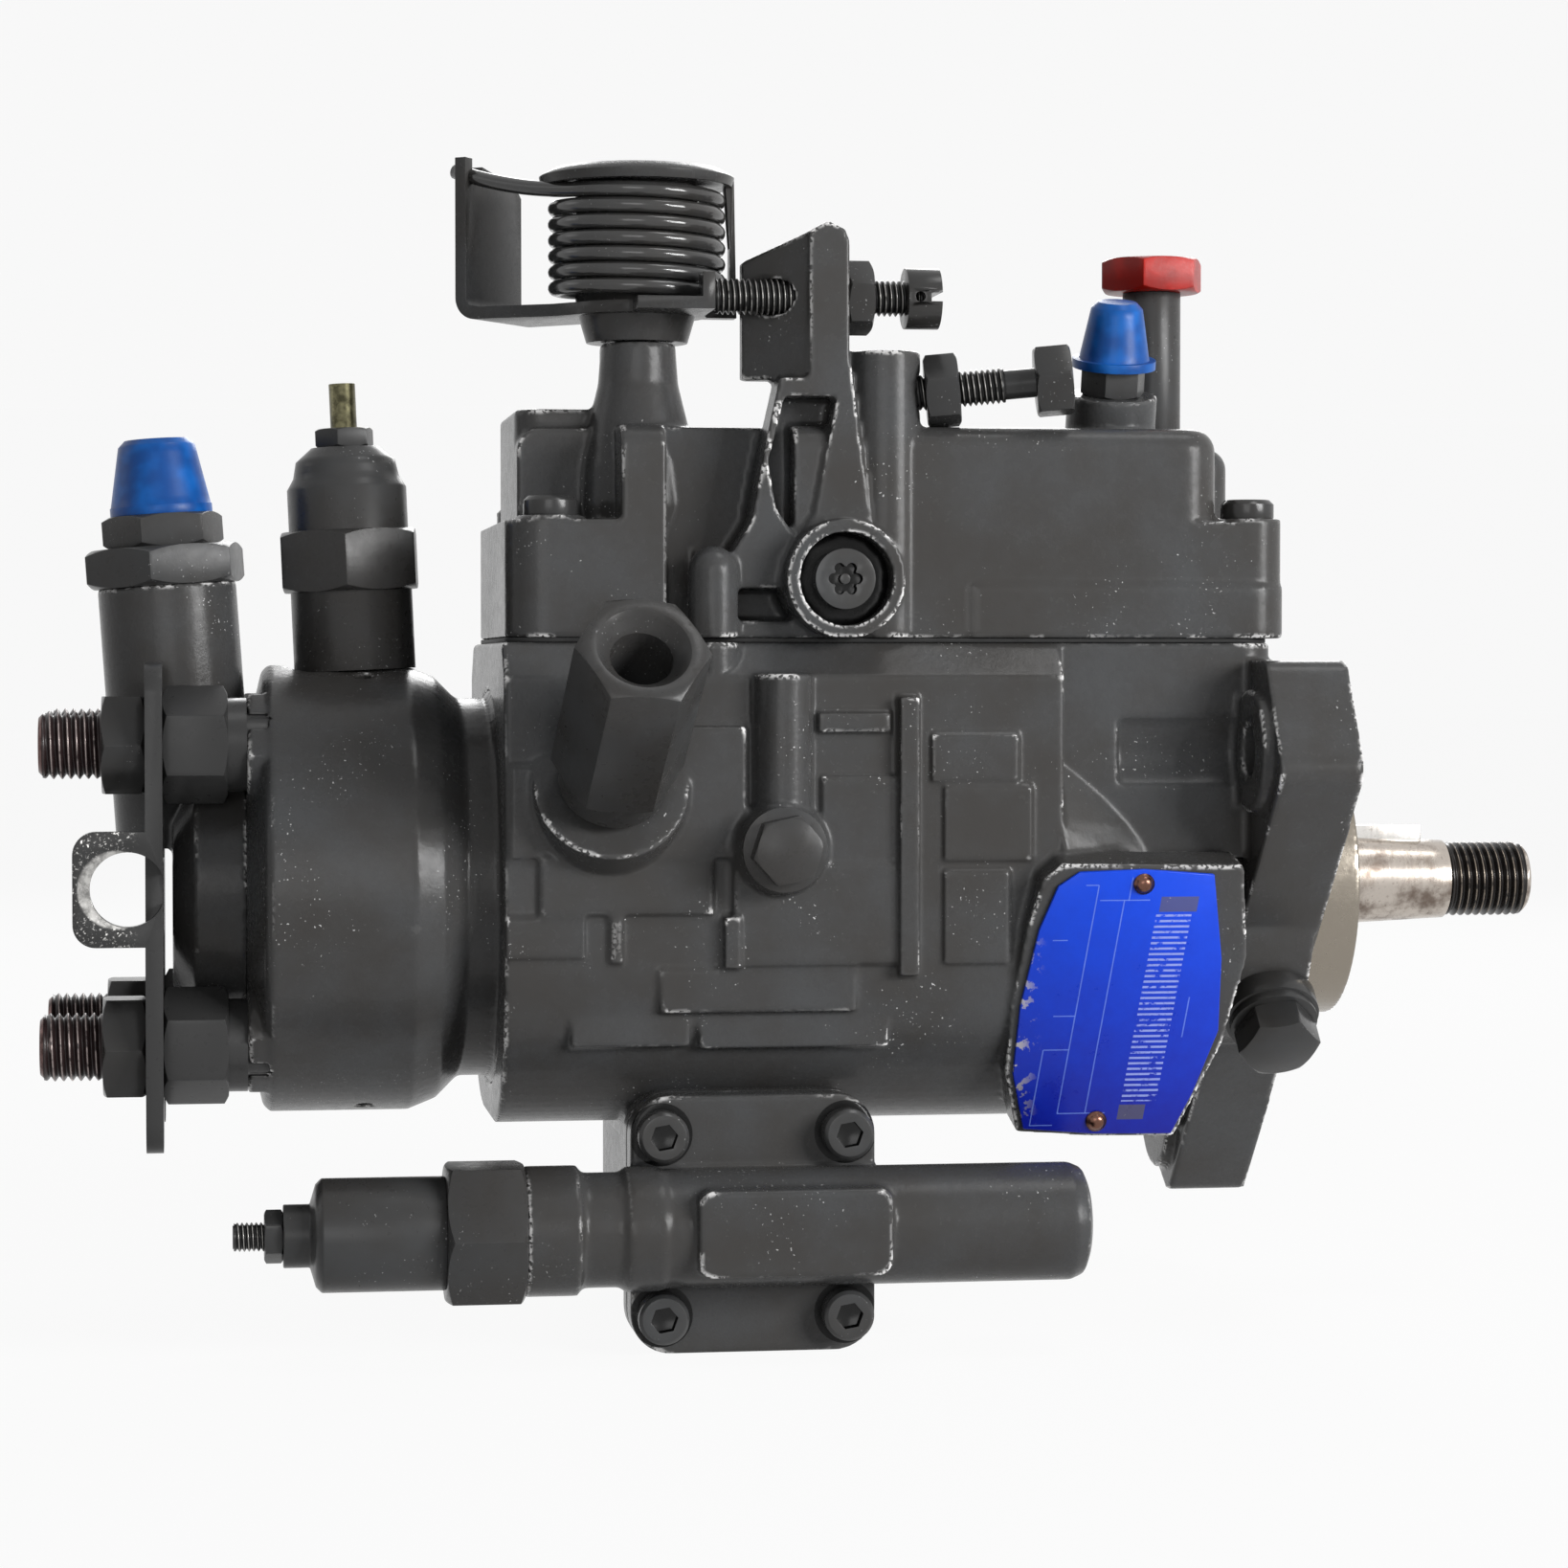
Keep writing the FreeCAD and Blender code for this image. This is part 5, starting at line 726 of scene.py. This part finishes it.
def plate_print():
    """Blue anodised sheet with pale rules, ticks and worn spots, painted lighter towards its top."""
    finish = Finish("plate_print")
    place = finish.place()
    x, y, z = [finish.along(place, axis) for axis in "XYZ"]
    up = (z - PLATE_MIDDLE[2]) * math.cos(PLATE_LEAN) - (y - PLATE_MIDDLE[1]) * math.sin(PLATE_LEAN)
    across = x - PLATE_MIDDLE[0] - up * PRINT_SLANT
    rubbed = finish.noise(7.0, 5, 0.7, place)
    broken = finish.noise(1.8, 3, 0.7, place).from_to(0.36, 0.5)
    chips = finish.noise(2.4, 4, 0.7, place).from_to(0.66, 0.7)
    nicks = finish.noise(2.0, 3, 0.6, place).from_to(0.55, 0.6)
    skin = finish.noise(0.7, 2, 0.5, place)
    ticks = (up / TICK_STEP + 40).fraction().below(0.4) * field(across, up, *TICK_FIELD) * broken
    dark = field(across, up, *TOP_FIELD) + field(across, up, *LOW_FIELD)
    bare = (1 - (x - WORN_EDGE_X).from_to(0.0, 6.0)) * nicks + chips * dark
    # Painted light and shade: the blue grows lighter towards the top of the plate.
    colour = finish.blend((up / 50 + 0.5) + (rubbed - 0.5) * 0.5, BLUE_IN_PAINTED_SHADE, BLUE_IN_PAINTED_LIGHT)
    colour = finish.blend(rules(across, up) * (0.35 + rubbed * 0.6), colour, PALE_RULE)
    colour = finish.blend(ticks * 0.85, colour, PALE_TICK)
    colour = finish.blend(dark * 0.75, colour, DARK_FIELD)
    colour = finish.blend(bare, colour, BARE_SHEET)
    rough = 0.3 + (rubbed - 0.5) * 0.2
    return finish.close(Base_Color=colour, Metallic=bare * 0.7, Roughness=rough, Specular_IOR_Level=0.25,
                        Normal=finish.bump(skin, 0.015, 0.3))


name_plate_finish = plate_print()
print("plate nodes", len(name_plate_finish.node_tree.nodes))

# %% [markdown]
# Now each drawn node gets the finish of its slot in the record. A few nodes share a slot but look
# different up close, such as the darker screws, and they are named here.

# %% Give every node its finish
SLOT_FINISH = {
    "grey_paint": fitting_enamel,
    "bright_steel": bright_steel,
    "dull_steel": dull_steel,
    "spring_steel": spring_steel,
    "blue_plastic": blue_cap,
    "red_plastic": red_cap,
    "blue_plate": name_plate_finish,
    "brass": terminal_finish,
    "gasket": rubber,
    "bronze": bronze,
}
SPECIAL_FINISH = {
    "throttle_lever": lever_enamel,
    "cover_screws": screw_enamel,
    "valve_cap_screws": cap_screw_enamel,
    "torx_screw": torx_enamel,
    "adjusting_screws": screw_enamel,
    "lock_nuts": screw_enamel,
    "lock_screw": screw_enamel,
    "outlet_nuts": screw_enamel,
    "outlet_unions": union_finish,
    "keeper_plate": keeper_finish,
    "drive_shaft": shaft_steel,
}


def dress(piece, material):
    """Take off what a piece wears and give it one material."""
    piece.data.materials.clear()
    piece.data.materials.append(material)


for part in frame["record"]["subparts"]:
    name = part["node"]
    dress(nodes[name], SPECIAL_FINISH.get(name, SLOT_FINISH[part["material_slot"]]))

# %% [markdown]
# A machined part never has a knife edge. The drawn nodes come with their corners split, so a weld joins
# them and a narrow bevel rounds what is sharper than forty degrees. Both are modifiers: the node's own
# mesh stays as drawn.

# %% Machined edges
CASTINGS = {"pump_housing": housing_enamel, "governor_cover": cover_enamel, "hydraulic_head": casting_enamel,
            "valve_body": valve_enamel, "advance_box": casting_enamel, "end_plate": casting_enamel}
WELD_GAP = 0.004
EDGE_WIDTH = 0.22
EDGE_ANGLE = math.radians(40)


def smooth(mesh):
    """Let the light run on across a mesh's edges."""
    for face in mesh.polygons:
        face.use_smooth = True


def ease_edges(piece, width=EDGE_WIDTH):
    """Weld the corners and break the sharp edges."""
    piece.modifiers.new("weld", "WELD").merge_threshold = WELD_GAP * MM
    bevel = piece.modifiers.new("edge", "BEVEL")
    bevel.width = width * MM
    bevel.segments = 2
    bevel.limit_method = "ANGLE"
    bevel.angle_limit = EDGE_ANGLE
    bevel.use_clamp_overlap = True
    smooth(piece.data)


machined = [name for name in nodes if name not in CASTINGS and not name.endswith("spring")]
for name in machined:
    ease_edges(nodes[name])
print("edges eased on", len(machined))

# %% [markdown]
# A sand casting has no sharp edge either, and its inner corners fill with a fillet. A voxel remesh makes
# one even skin out of the drawn solid, two passes of smoothing melt its corners, and a decimation drops
# the faces that flat areas don't need. Bolting faces keep their place, because smoothing only moves a
# surface where it bends. A bevel would choke where so many bosses and ribs meet.

# %% Castings
SKIN_VOXEL = 0.55
SKIN_PASSES = 2
SKIN_SHARE = 0.28


def cast(name):
    """A smoothed copy of a drawn casting, which then stands for it."""
    piece = put_in_scene(name + "_casting", nodes[name].data.copy())
    remesh = piece.modifiers.new("skin", "REMESH")
    remesh.mode = "VOXEL"
    remesh.voxel_size = SKIN_VOXEL * MM
    remesh.use_smooth_shade = True
    soften = piece.modifiers.new("soften", "SMOOTH")
    soften.factor = 0.5
    soften.iterations = SKIN_PASSES
    fewer = piece.modifiers.new("fewer", "DECIMATE")
    fewer.ratio = SKIN_SHARE
    ready = bpy.data.meshes.new_from_object(piece.evaluated_get(bpy.context.evaluated_depsgraph_get()))
    piece.modifiers.clear()
    piece.data = ready
    smooth(ready)
    dress(piece, CASTINGS[name])
    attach(piece, nodes[name]["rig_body"])
    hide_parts(name)
    print(name, "faces", len(ready.polygons))


for name in CASTINGS:
    cast(name)

# %% [markdown]
# Threads, rivets and springs are all a row of rings with a skin between them. The rings come as points in
# millimetres, and one helper joins each to the next, closes the ends where that is wanted, and turns the
# result into a mesh. Built point by point, such a skin has no stray faces.

# %% A skin over rings
FULL_TURN = 2 * math.pi


def skin_over(name, rings, caps=None):
    """A piece made of rings of points in millimetres. Its caps are flat, smooth or None."""
    build = bmesh.new()
    corners = [[build.verts.new(point * MM) for point in ring] for ring in rings]
    columns = len(rings[0])
    for lower, upper in zip(corners, corners[1:]):
        for j in range(columns):
            k = (j + 1) % columns
            build.faces.new((lower[j], lower[k], upper[k], upper[j]))
    if caps is not None:
        build.faces.new(corners[-1])
        build.faces.new(list(reversed(corners[0])))
    mesh = bpy.data.meshes.new(name)
    build.to_mesh(mesh)
    build.free()
    for face in mesh.polygons:
        face.use_smooth = caps != "flat" or len(face.vertices) == 4
    return put_in_scene(name, mesh)


def upright_to(direction):
    """The turn that takes the Z axis to a direction."""
    return Vector(direction).normalized().to_track_quat("Z", "Y").to_matrix()


print("skin helpers", skin_over.__name__, upright_to.__name__)

# %% [markdown]
# A thread is a ridge that climbs a pitch with each turn. Here the bar's skin is a grid of rings and
# columns, and each point's radius comes from how far along the pitch it is, shifted by its angle. That
# gives a true helix with no seam, and a fade at both ends for the run out.

# %% Threads
Thread = namedtuple("Thread", "radius pitch depth columns")
RINGS_PER_PITCH = 10
RUN_OUT = 0.8
END_DROP = 0.25


def threaded_bar(name, start, direction, length, thread, material, body):
    """A bar with a helical thread, from start along direction. Sizes in millimetres."""
    steps = int(length / thread.pitch * RINGS_PER_PITCH)
    turn = upright_to(direction)
    run_out = thread.pitch * RUN_OUT
    rings = []
    for i in range(steps + 1):
        along = length * i / steps
        fade = min(1.0, along / run_out, (length - along) / run_out)
        ring = []
        for j in range(thread.columns):
            angle = FULL_TURN * j / thread.columns
            phase = (along / thread.pitch - j / thread.columns) % 1.0
            ridge = abs(phase - 0.5) * 2
            cut = thread.depth * min(1.0, max(0.0, 1.25 * ridge - 0.12)) * fade
            reach = thread.radius - cut - END_DROP * thread.depth * (1 - fade)
            spot = Vector((reach * math.cos(angle), reach * math.sin(angle), along))
            ring.append(turn @ spot + Vector(start))
        rings.append(ring)
    piece = skin_over(name, rings)
    dress(piece, material)
    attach(piece, body)


print("thread rings per pitch", RINGS_PER_PITCH)

# %% [markdown]
# The drawing shows a threaded stretch as a plain bar of the thread's full size. The real thread would
# hide inside it, so a copy of the node is slimmed there: points that lie on the bar move in to the root.
# Working on the points keeps the rest of the node, heads and cones, exactly as drawn.

# %% Slimmed bars
SLIM_EDGE = 0.18
SPAN_SLACK = 0.05
RADIUS_SLACK = 0.12


def slimmed(name, spans, material):
    """A copy of a node whose plain bars are thinner where a thread will lie over them.

    A span is an axis point and direction, a length, the radius at which its points lie, and the new one."""
    copy = put_in_scene(name + "_slim", nodes[name].data.copy())
    for point in copy.data.vertices:
        for base, direction, length, old, new in spans:
            base = Vector(base)
            direction = Vector(direction).normalized()
            offset = point.co / MM - base
            along = offset.dot(direction)
            sideways = offset - direction * along
            on_span = -SPAN_SLACK <= along <= length + SPAN_SLACK
            if on_span and abs(sideways.length - old) < RADIUS_SLACK:
                point.co = (base + direction * along + sideways * (new / old)) * MM
    dress(copy, material)
    ease_edges(copy, SLIM_EDGE)
    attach(copy, nodes[name]["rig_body"])
    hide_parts(name)


print("slimmed edges", SLIM_EDGE, "mm")

# %% [markdown]
# Four outlets carry the injection pipes, and each has a fine thread behind its cone. They stand at the
# corners of a rectangle round the shaft's axis, so a loop over two sides and two heights makes them.

# %% Outlet threads
ALONG_X = (1, 0, 0)
OUTLETS = [(y, z) for y in (-22, 22) for z in (26.5, -26.5)]
PIPE_THREAD = Thread(radius=6.0, pitch=1.5, depth=0.85, columns=40)
PIPE_ROOT = 5.1
PIPE_BAR = 16.5
PIPE_THREAD_LENGTH = 10.4

pipe_bars = [((-227.8, y, z), ALONG_X, PIPE_BAR, PIPE_THREAD.radius, PIPE_ROOT) for y, z in OUTLETS]
slimmed("outlet_unions", pipe_bars, union_finish)
for index, (y, z) in enumerate(OUTLETS):
    threaded_bar(f"outlet_thread_{index + 1}", (-228.3, y, z), ALONG_X, PIPE_THREAD_LENGTH, PIPE_THREAD,
                 pipe_thread_steel, "casing")
print("outlet threads", len(OUTLETS))

# %% [markdown]
# The shaft's end carries the fine thread of the gear nut. It was blackened, and the nut has rubbed its
# crests bright, while the taper beside it stays polished. So it wears a worn thread's finish of its own,
# a browner one than the outlets have.

# %% Shaft thread
SHAFT_THREAD = Thread(radius=7.0, pitch=1.5, depth=0.9, columns=56)
SHAFT_ROOT = 6.0
SHAFT_BAR = 14.8
SHAFT_THREAD_LENGTH = 14.4

slimmed("drive_shaft", [((32.0, 0, 0), ALONG_X, SHAFT_BAR, SHAFT_THREAD.radius, SHAFT_ROOT)], shaft_steel)
threaded_bar("shaft_thread", (32.5, 0, 0), ALONG_X, SHAFT_THREAD_LENGTH, SHAFT_THREAD, shaft_thread_steel,
             "rotor")
print("shaft thread", SHAFT_THREAD_LENGTH, "mm")

# %% [markdown]
# Three adjusting screws share one node: the speed stop, the idle screw and the advance screw. Each
# plain shank is slimmed and gets its own thread. The idle screw's thread stops before its head, and its
# shank is slimmed from below the seat, because the drawn bar begins there.

# %% Adjusting screws
STOP_THREAD = Thread(radius=3.2, pitch=1.0, depth=0.6, columns=28)
STOP_ROOT = 2.6
ADVANCE_THREAD = Thread(radius=2.5, pitch=0.8, depth=0.5, columns=24)
ADVANCE_ROOT = 2.0
IDLE_SEAT = Vector((-74.7, -31.5, 88.8))
IDLE_WAY = Vector((1.0, -0.16, 0.09)).normalized()
IDLE_FOOT = IDLE_SEAT - IDLE_WAY * 9.2

shanks = [((-111.0, -31.0, 105.5), ALONG_X, 34.0, STOP_THREAD.radius, STOP_ROOT),
          (IDLE_FOOT, IDLE_WAY, 31.0, STOP_THREAD.radius, STOP_ROOT),
          ((-196.0, -49.0, -56.8), ALONG_X, 30.0, ADVANCE_THREAD.radius, ADVANCE_ROOT)]
slimmed("adjusting_screws", shanks, screw_enamel)
threaded_bar("stop_thread", (-110.8, -31, 105.5), ALONG_X, 36.6, STOP_THREAD, screw_thread_steel,
             "casing")
threaded_bar("idle_thread", IDLE_SEAT, IDLE_WAY, 15.5, STOP_THREAD, screw_thread_steel,
             "casing")
threaded_bar("advance_thread", (-195.8, -49, -56.8), ALONG_X, 8.0, ADVANCE_THREAD, screw_thread_steel,
             "casing")
print("screw threads", len(shanks))

# %% [markdown]
# Two domed rivets hold the name plate. A small profile turned about its axis makes a rivet, with a flat
# rim under the dome, so that it sits on the plate rather than in it.

# %% Rivets
PLATE_UP = Vector((0, -math.sin(PLATE_LEAN), math.cos(PLATE_LEAN)))
PLATE_OUT = Vector((0, -math.cos(PLATE_LEAN), -math.sin(PLATE_LEAN)))
PLATE_THICK = 0.8
RIVET_PLACES = [(0.5, 22.4), (-5.6, -21.8)]
RIVET = [(1.9, -0.1), (1.9, 0.25), (1.55, 0.4), (1.4, 0.75), (1.05, 1.1), (0.55, 1.3), (0.12, 1.36)]
RIVET_COLUMNS = 36


def lathe(name, profile, start, direction, material, body):
    """A profile of radius and height, turned about an axis. Sizes in millimetres."""
    turn = upright_to(direction)
    rings = []
    for radius, height in profile:
        ring = []
        for j in range(RIVET_COLUMNS):
            angle = FULL_TURN * j / RIVET_COLUMNS
            spot = Vector((radius * math.cos(angle), radius * math.sin(angle), height))
            ring.append(start + turn @ spot)
        rings.append(ring)
    piece = skin_over(name, rings, "flat")
    dress(piece, material)
    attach(piece, body)


for index, (along, above) in enumerate(RIVET_PLACES):
    foot = Vector(PLATE_MIDDLE) + Vector(ALONG_X) * along + PLATE_UP * above + PLATE_OUT * PLATE_THICK
    lathe(f"plate_rivet_{index + 1}", RIVET, foot, PLATE_OUT, rivet_brass, "casing")
print("rivets", len(RIVET_PLACES))

# %% [markdown]
# The throttle lever ends in a drum whose rim closes the return spring from above. The drawing has the rim
# a few millimetres higher than the photo shows it. So copies of the lever and its shaft have the drum's
# top let down, and the arm beyond the rim stays. Each row of levels holds a height in the drawing, the new
# height, and how much wider the rim gets there.

# %% Drum seated on the coil
SPRING_MIDDLE = (-123.0, -15.0)
DRUM_REACH = 19.5
DRUM_INSIDE = 15
RIM_LEVELS = [(131.5, 126.3, 1.03), (132.3, 127.9, 1.01), (133.3, 129.3, 0.87), (134.5, 129.6, 0.9)]


def lower_drum(name, material):
    """A copy of a node whose drum top is let down until the rim rests on the coil."""
    copy = put_in_scene(name + "_seated", nodes[name].data.copy())
    for point in copy.data.vertices:
        x, y, z = point.co / MM
        out = Vector((x - SPRING_MIDDLE[0], y - SPRING_MIDDLE[1]))
        if out.length > DRUM_REACH or z < RIM_LEVELS[0][0] - 1:
            continue
        _, height, spread = min(RIM_LEVELS, key=lambda level: abs(level[0] - z))
        wide = spread if out.length > DRUM_INSIDE else 1.0
        point.co = at(SPRING_MIDDLE[0] + out.x * wide, SPRING_MIDDLE[1] + out.y * wide, height)
    dress(copy, material)
    ease_edges(copy)
    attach(copy, nodes[name]["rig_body"])
    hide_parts(name)


lower_drum("throttle_lever", lever_enamel)
lower_drum("throttle_shaft", fitting_enamel)
print("drum levels", len(RIM_LEVELS))

# %% [markdown]
# A spring is a wire along a path. Each ring takes its side from the last one, so the wire doesn't twist.

# %% Wire
def wire_along(name, path, radius, sides=14):
    """A round wire swept along points, as a mesh. Sizes in millimetres."""
    rings = []
    side = Vector((0, 0, 1))
    for i, point in enumerate(path):
        ahead = (path[min(i + 1, len(path) - 1)] - path[max(i - 1, 0)]).normalized()
        side = (side - ahead * side.dot(ahead)).normalized()
        other = ahead.cross(side)
        ring = []
        for j in range(sides):
            angle = FULL_TURN * j / sides
            ring.append(point + (side * math.cos(angle) + other * math.sin(angle)) * radius)
        rings.append(ring)
    return skin_over(name, rings, "smooth")


print("wire helper", wire_along.__name__)

# %% [markdown]
# The throttle's return spring is six and a bit turns of hard wire round a drum. Its lower end stays with
# the pump and its upper leg pushes on the lever's tab. The path climbs the coil and then leaves it in a
# soft curve, which starts the way the coil was heading.

# %% Return spring
SPRING_TURNS = 6.3
SPRING_FOOT = 106.9
SPRING_HEAD = 124.8
SPRING_WIRE = 1.38
SPRING_RADIUS = 14.6
STEPS_PER_TURN = 44
LEG_ANGLE = math.radians(218.3)
LEG_END = Vector((-154.6, -1.6, 130.2))
LEG_STEPS = 20


def spring_path():
    """The wire's middle line: up the coil, then off along the leg to the lever's notch."""
    points = []
    steps = int(SPRING_TURNS * STEPS_PER_TURN)
    for i in range(steps + 1):
        angle = LEG_ANGLE + FULL_TURN * SPRING_TURNS * (steps - i) / steps
        height = SPRING_FOOT + (SPRING_HEAD - SPRING_FOOT) * i / steps
        points.append(Vector((SPRING_MIDDLE[0] + SPRING_RADIUS * math.cos(angle),
                              SPRING_MIDDLE[1] + SPRING_RADIUS * math.sin(angle), height)))
    start = points[-1]
    ahead = (points[-1] - points[-2]).normalized()
    bend = start + ahead * (LEG_END - start).length * 0.45
    for i in range(1, LEG_STEPS + 1):
        t = i / LEG_STEPS
        points.append(start * (1 - t) ** 2 + bend * 2 * t * (1 - t) + LEG_END * t * t)
    return points


coil = wire_along("return_spring_coil", spring_path(), SPRING_WIRE)
dress(coil, spring_enamel)
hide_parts("return_spring")
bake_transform(coil)
print("spring faces", len(coil.data.polygons))

# %% [markdown]
# Three more springs work out of sight: behind the advance piston, behind the valve spool and on the
# governor's link. The drawing shows each as the sleeve that its coils fill, so the sleeve's own box gives
# the coil its length and radius.

# %% Hidden springs
HIDDEN_STEPS = 28
HIDDEN_SIDES = 10


def wind(name, axis, wire, turns, mover=None):
    """A coil that fills a drawn sleeve, wound from the sleeve's low end along the axis."""
    corners = [Vector(corner) / MM for corner in nodes[name].bound_box]
    low = [min(corner[i] for corner in corners) for i in range(3)]
    high = [max(corner[i] for corner in corners) for i in range(3)]
    first, second = [i for i in range(3) if i != axis]
    middle = [(a + b) / 2 for a, b in zip(low, high)]
    reach = (high[first] - low[first]) / 2 - wire
    length = high[axis] - low[axis] - 2 * wire
    steps = turns * HIDDEN_STEPS
    path = []
    for i in range(steps + 1):
        angle = math.pi / 2 + FULL_TURN * turns * i / steps
        spot = list(middle)
        spot[axis] = low[axis] + wire + length * i / steps
        spot[first] += reach * math.cos(angle)
        spot[second] += reach * math.sin(angle)
        path.append(Vector(spot))
    piece = wire_along(name + "_coil", path, wire, HIDDEN_SIDES)
    dress(piece, spring_steel)
    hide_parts(name)
    if mover is None:
        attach(piece, nodes[name]["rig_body"])
        return
    for side in (low, high):
        spot = list(middle)
        spot[axis] = side[axis]
    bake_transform(piece)


wind("advance_spring", 1, 1.0, 5, "advance_piston")
wind("valve_spring", 0, 0.6, 7, "valve_spool")
wind("governor_spring", 0, 0.6, 8)
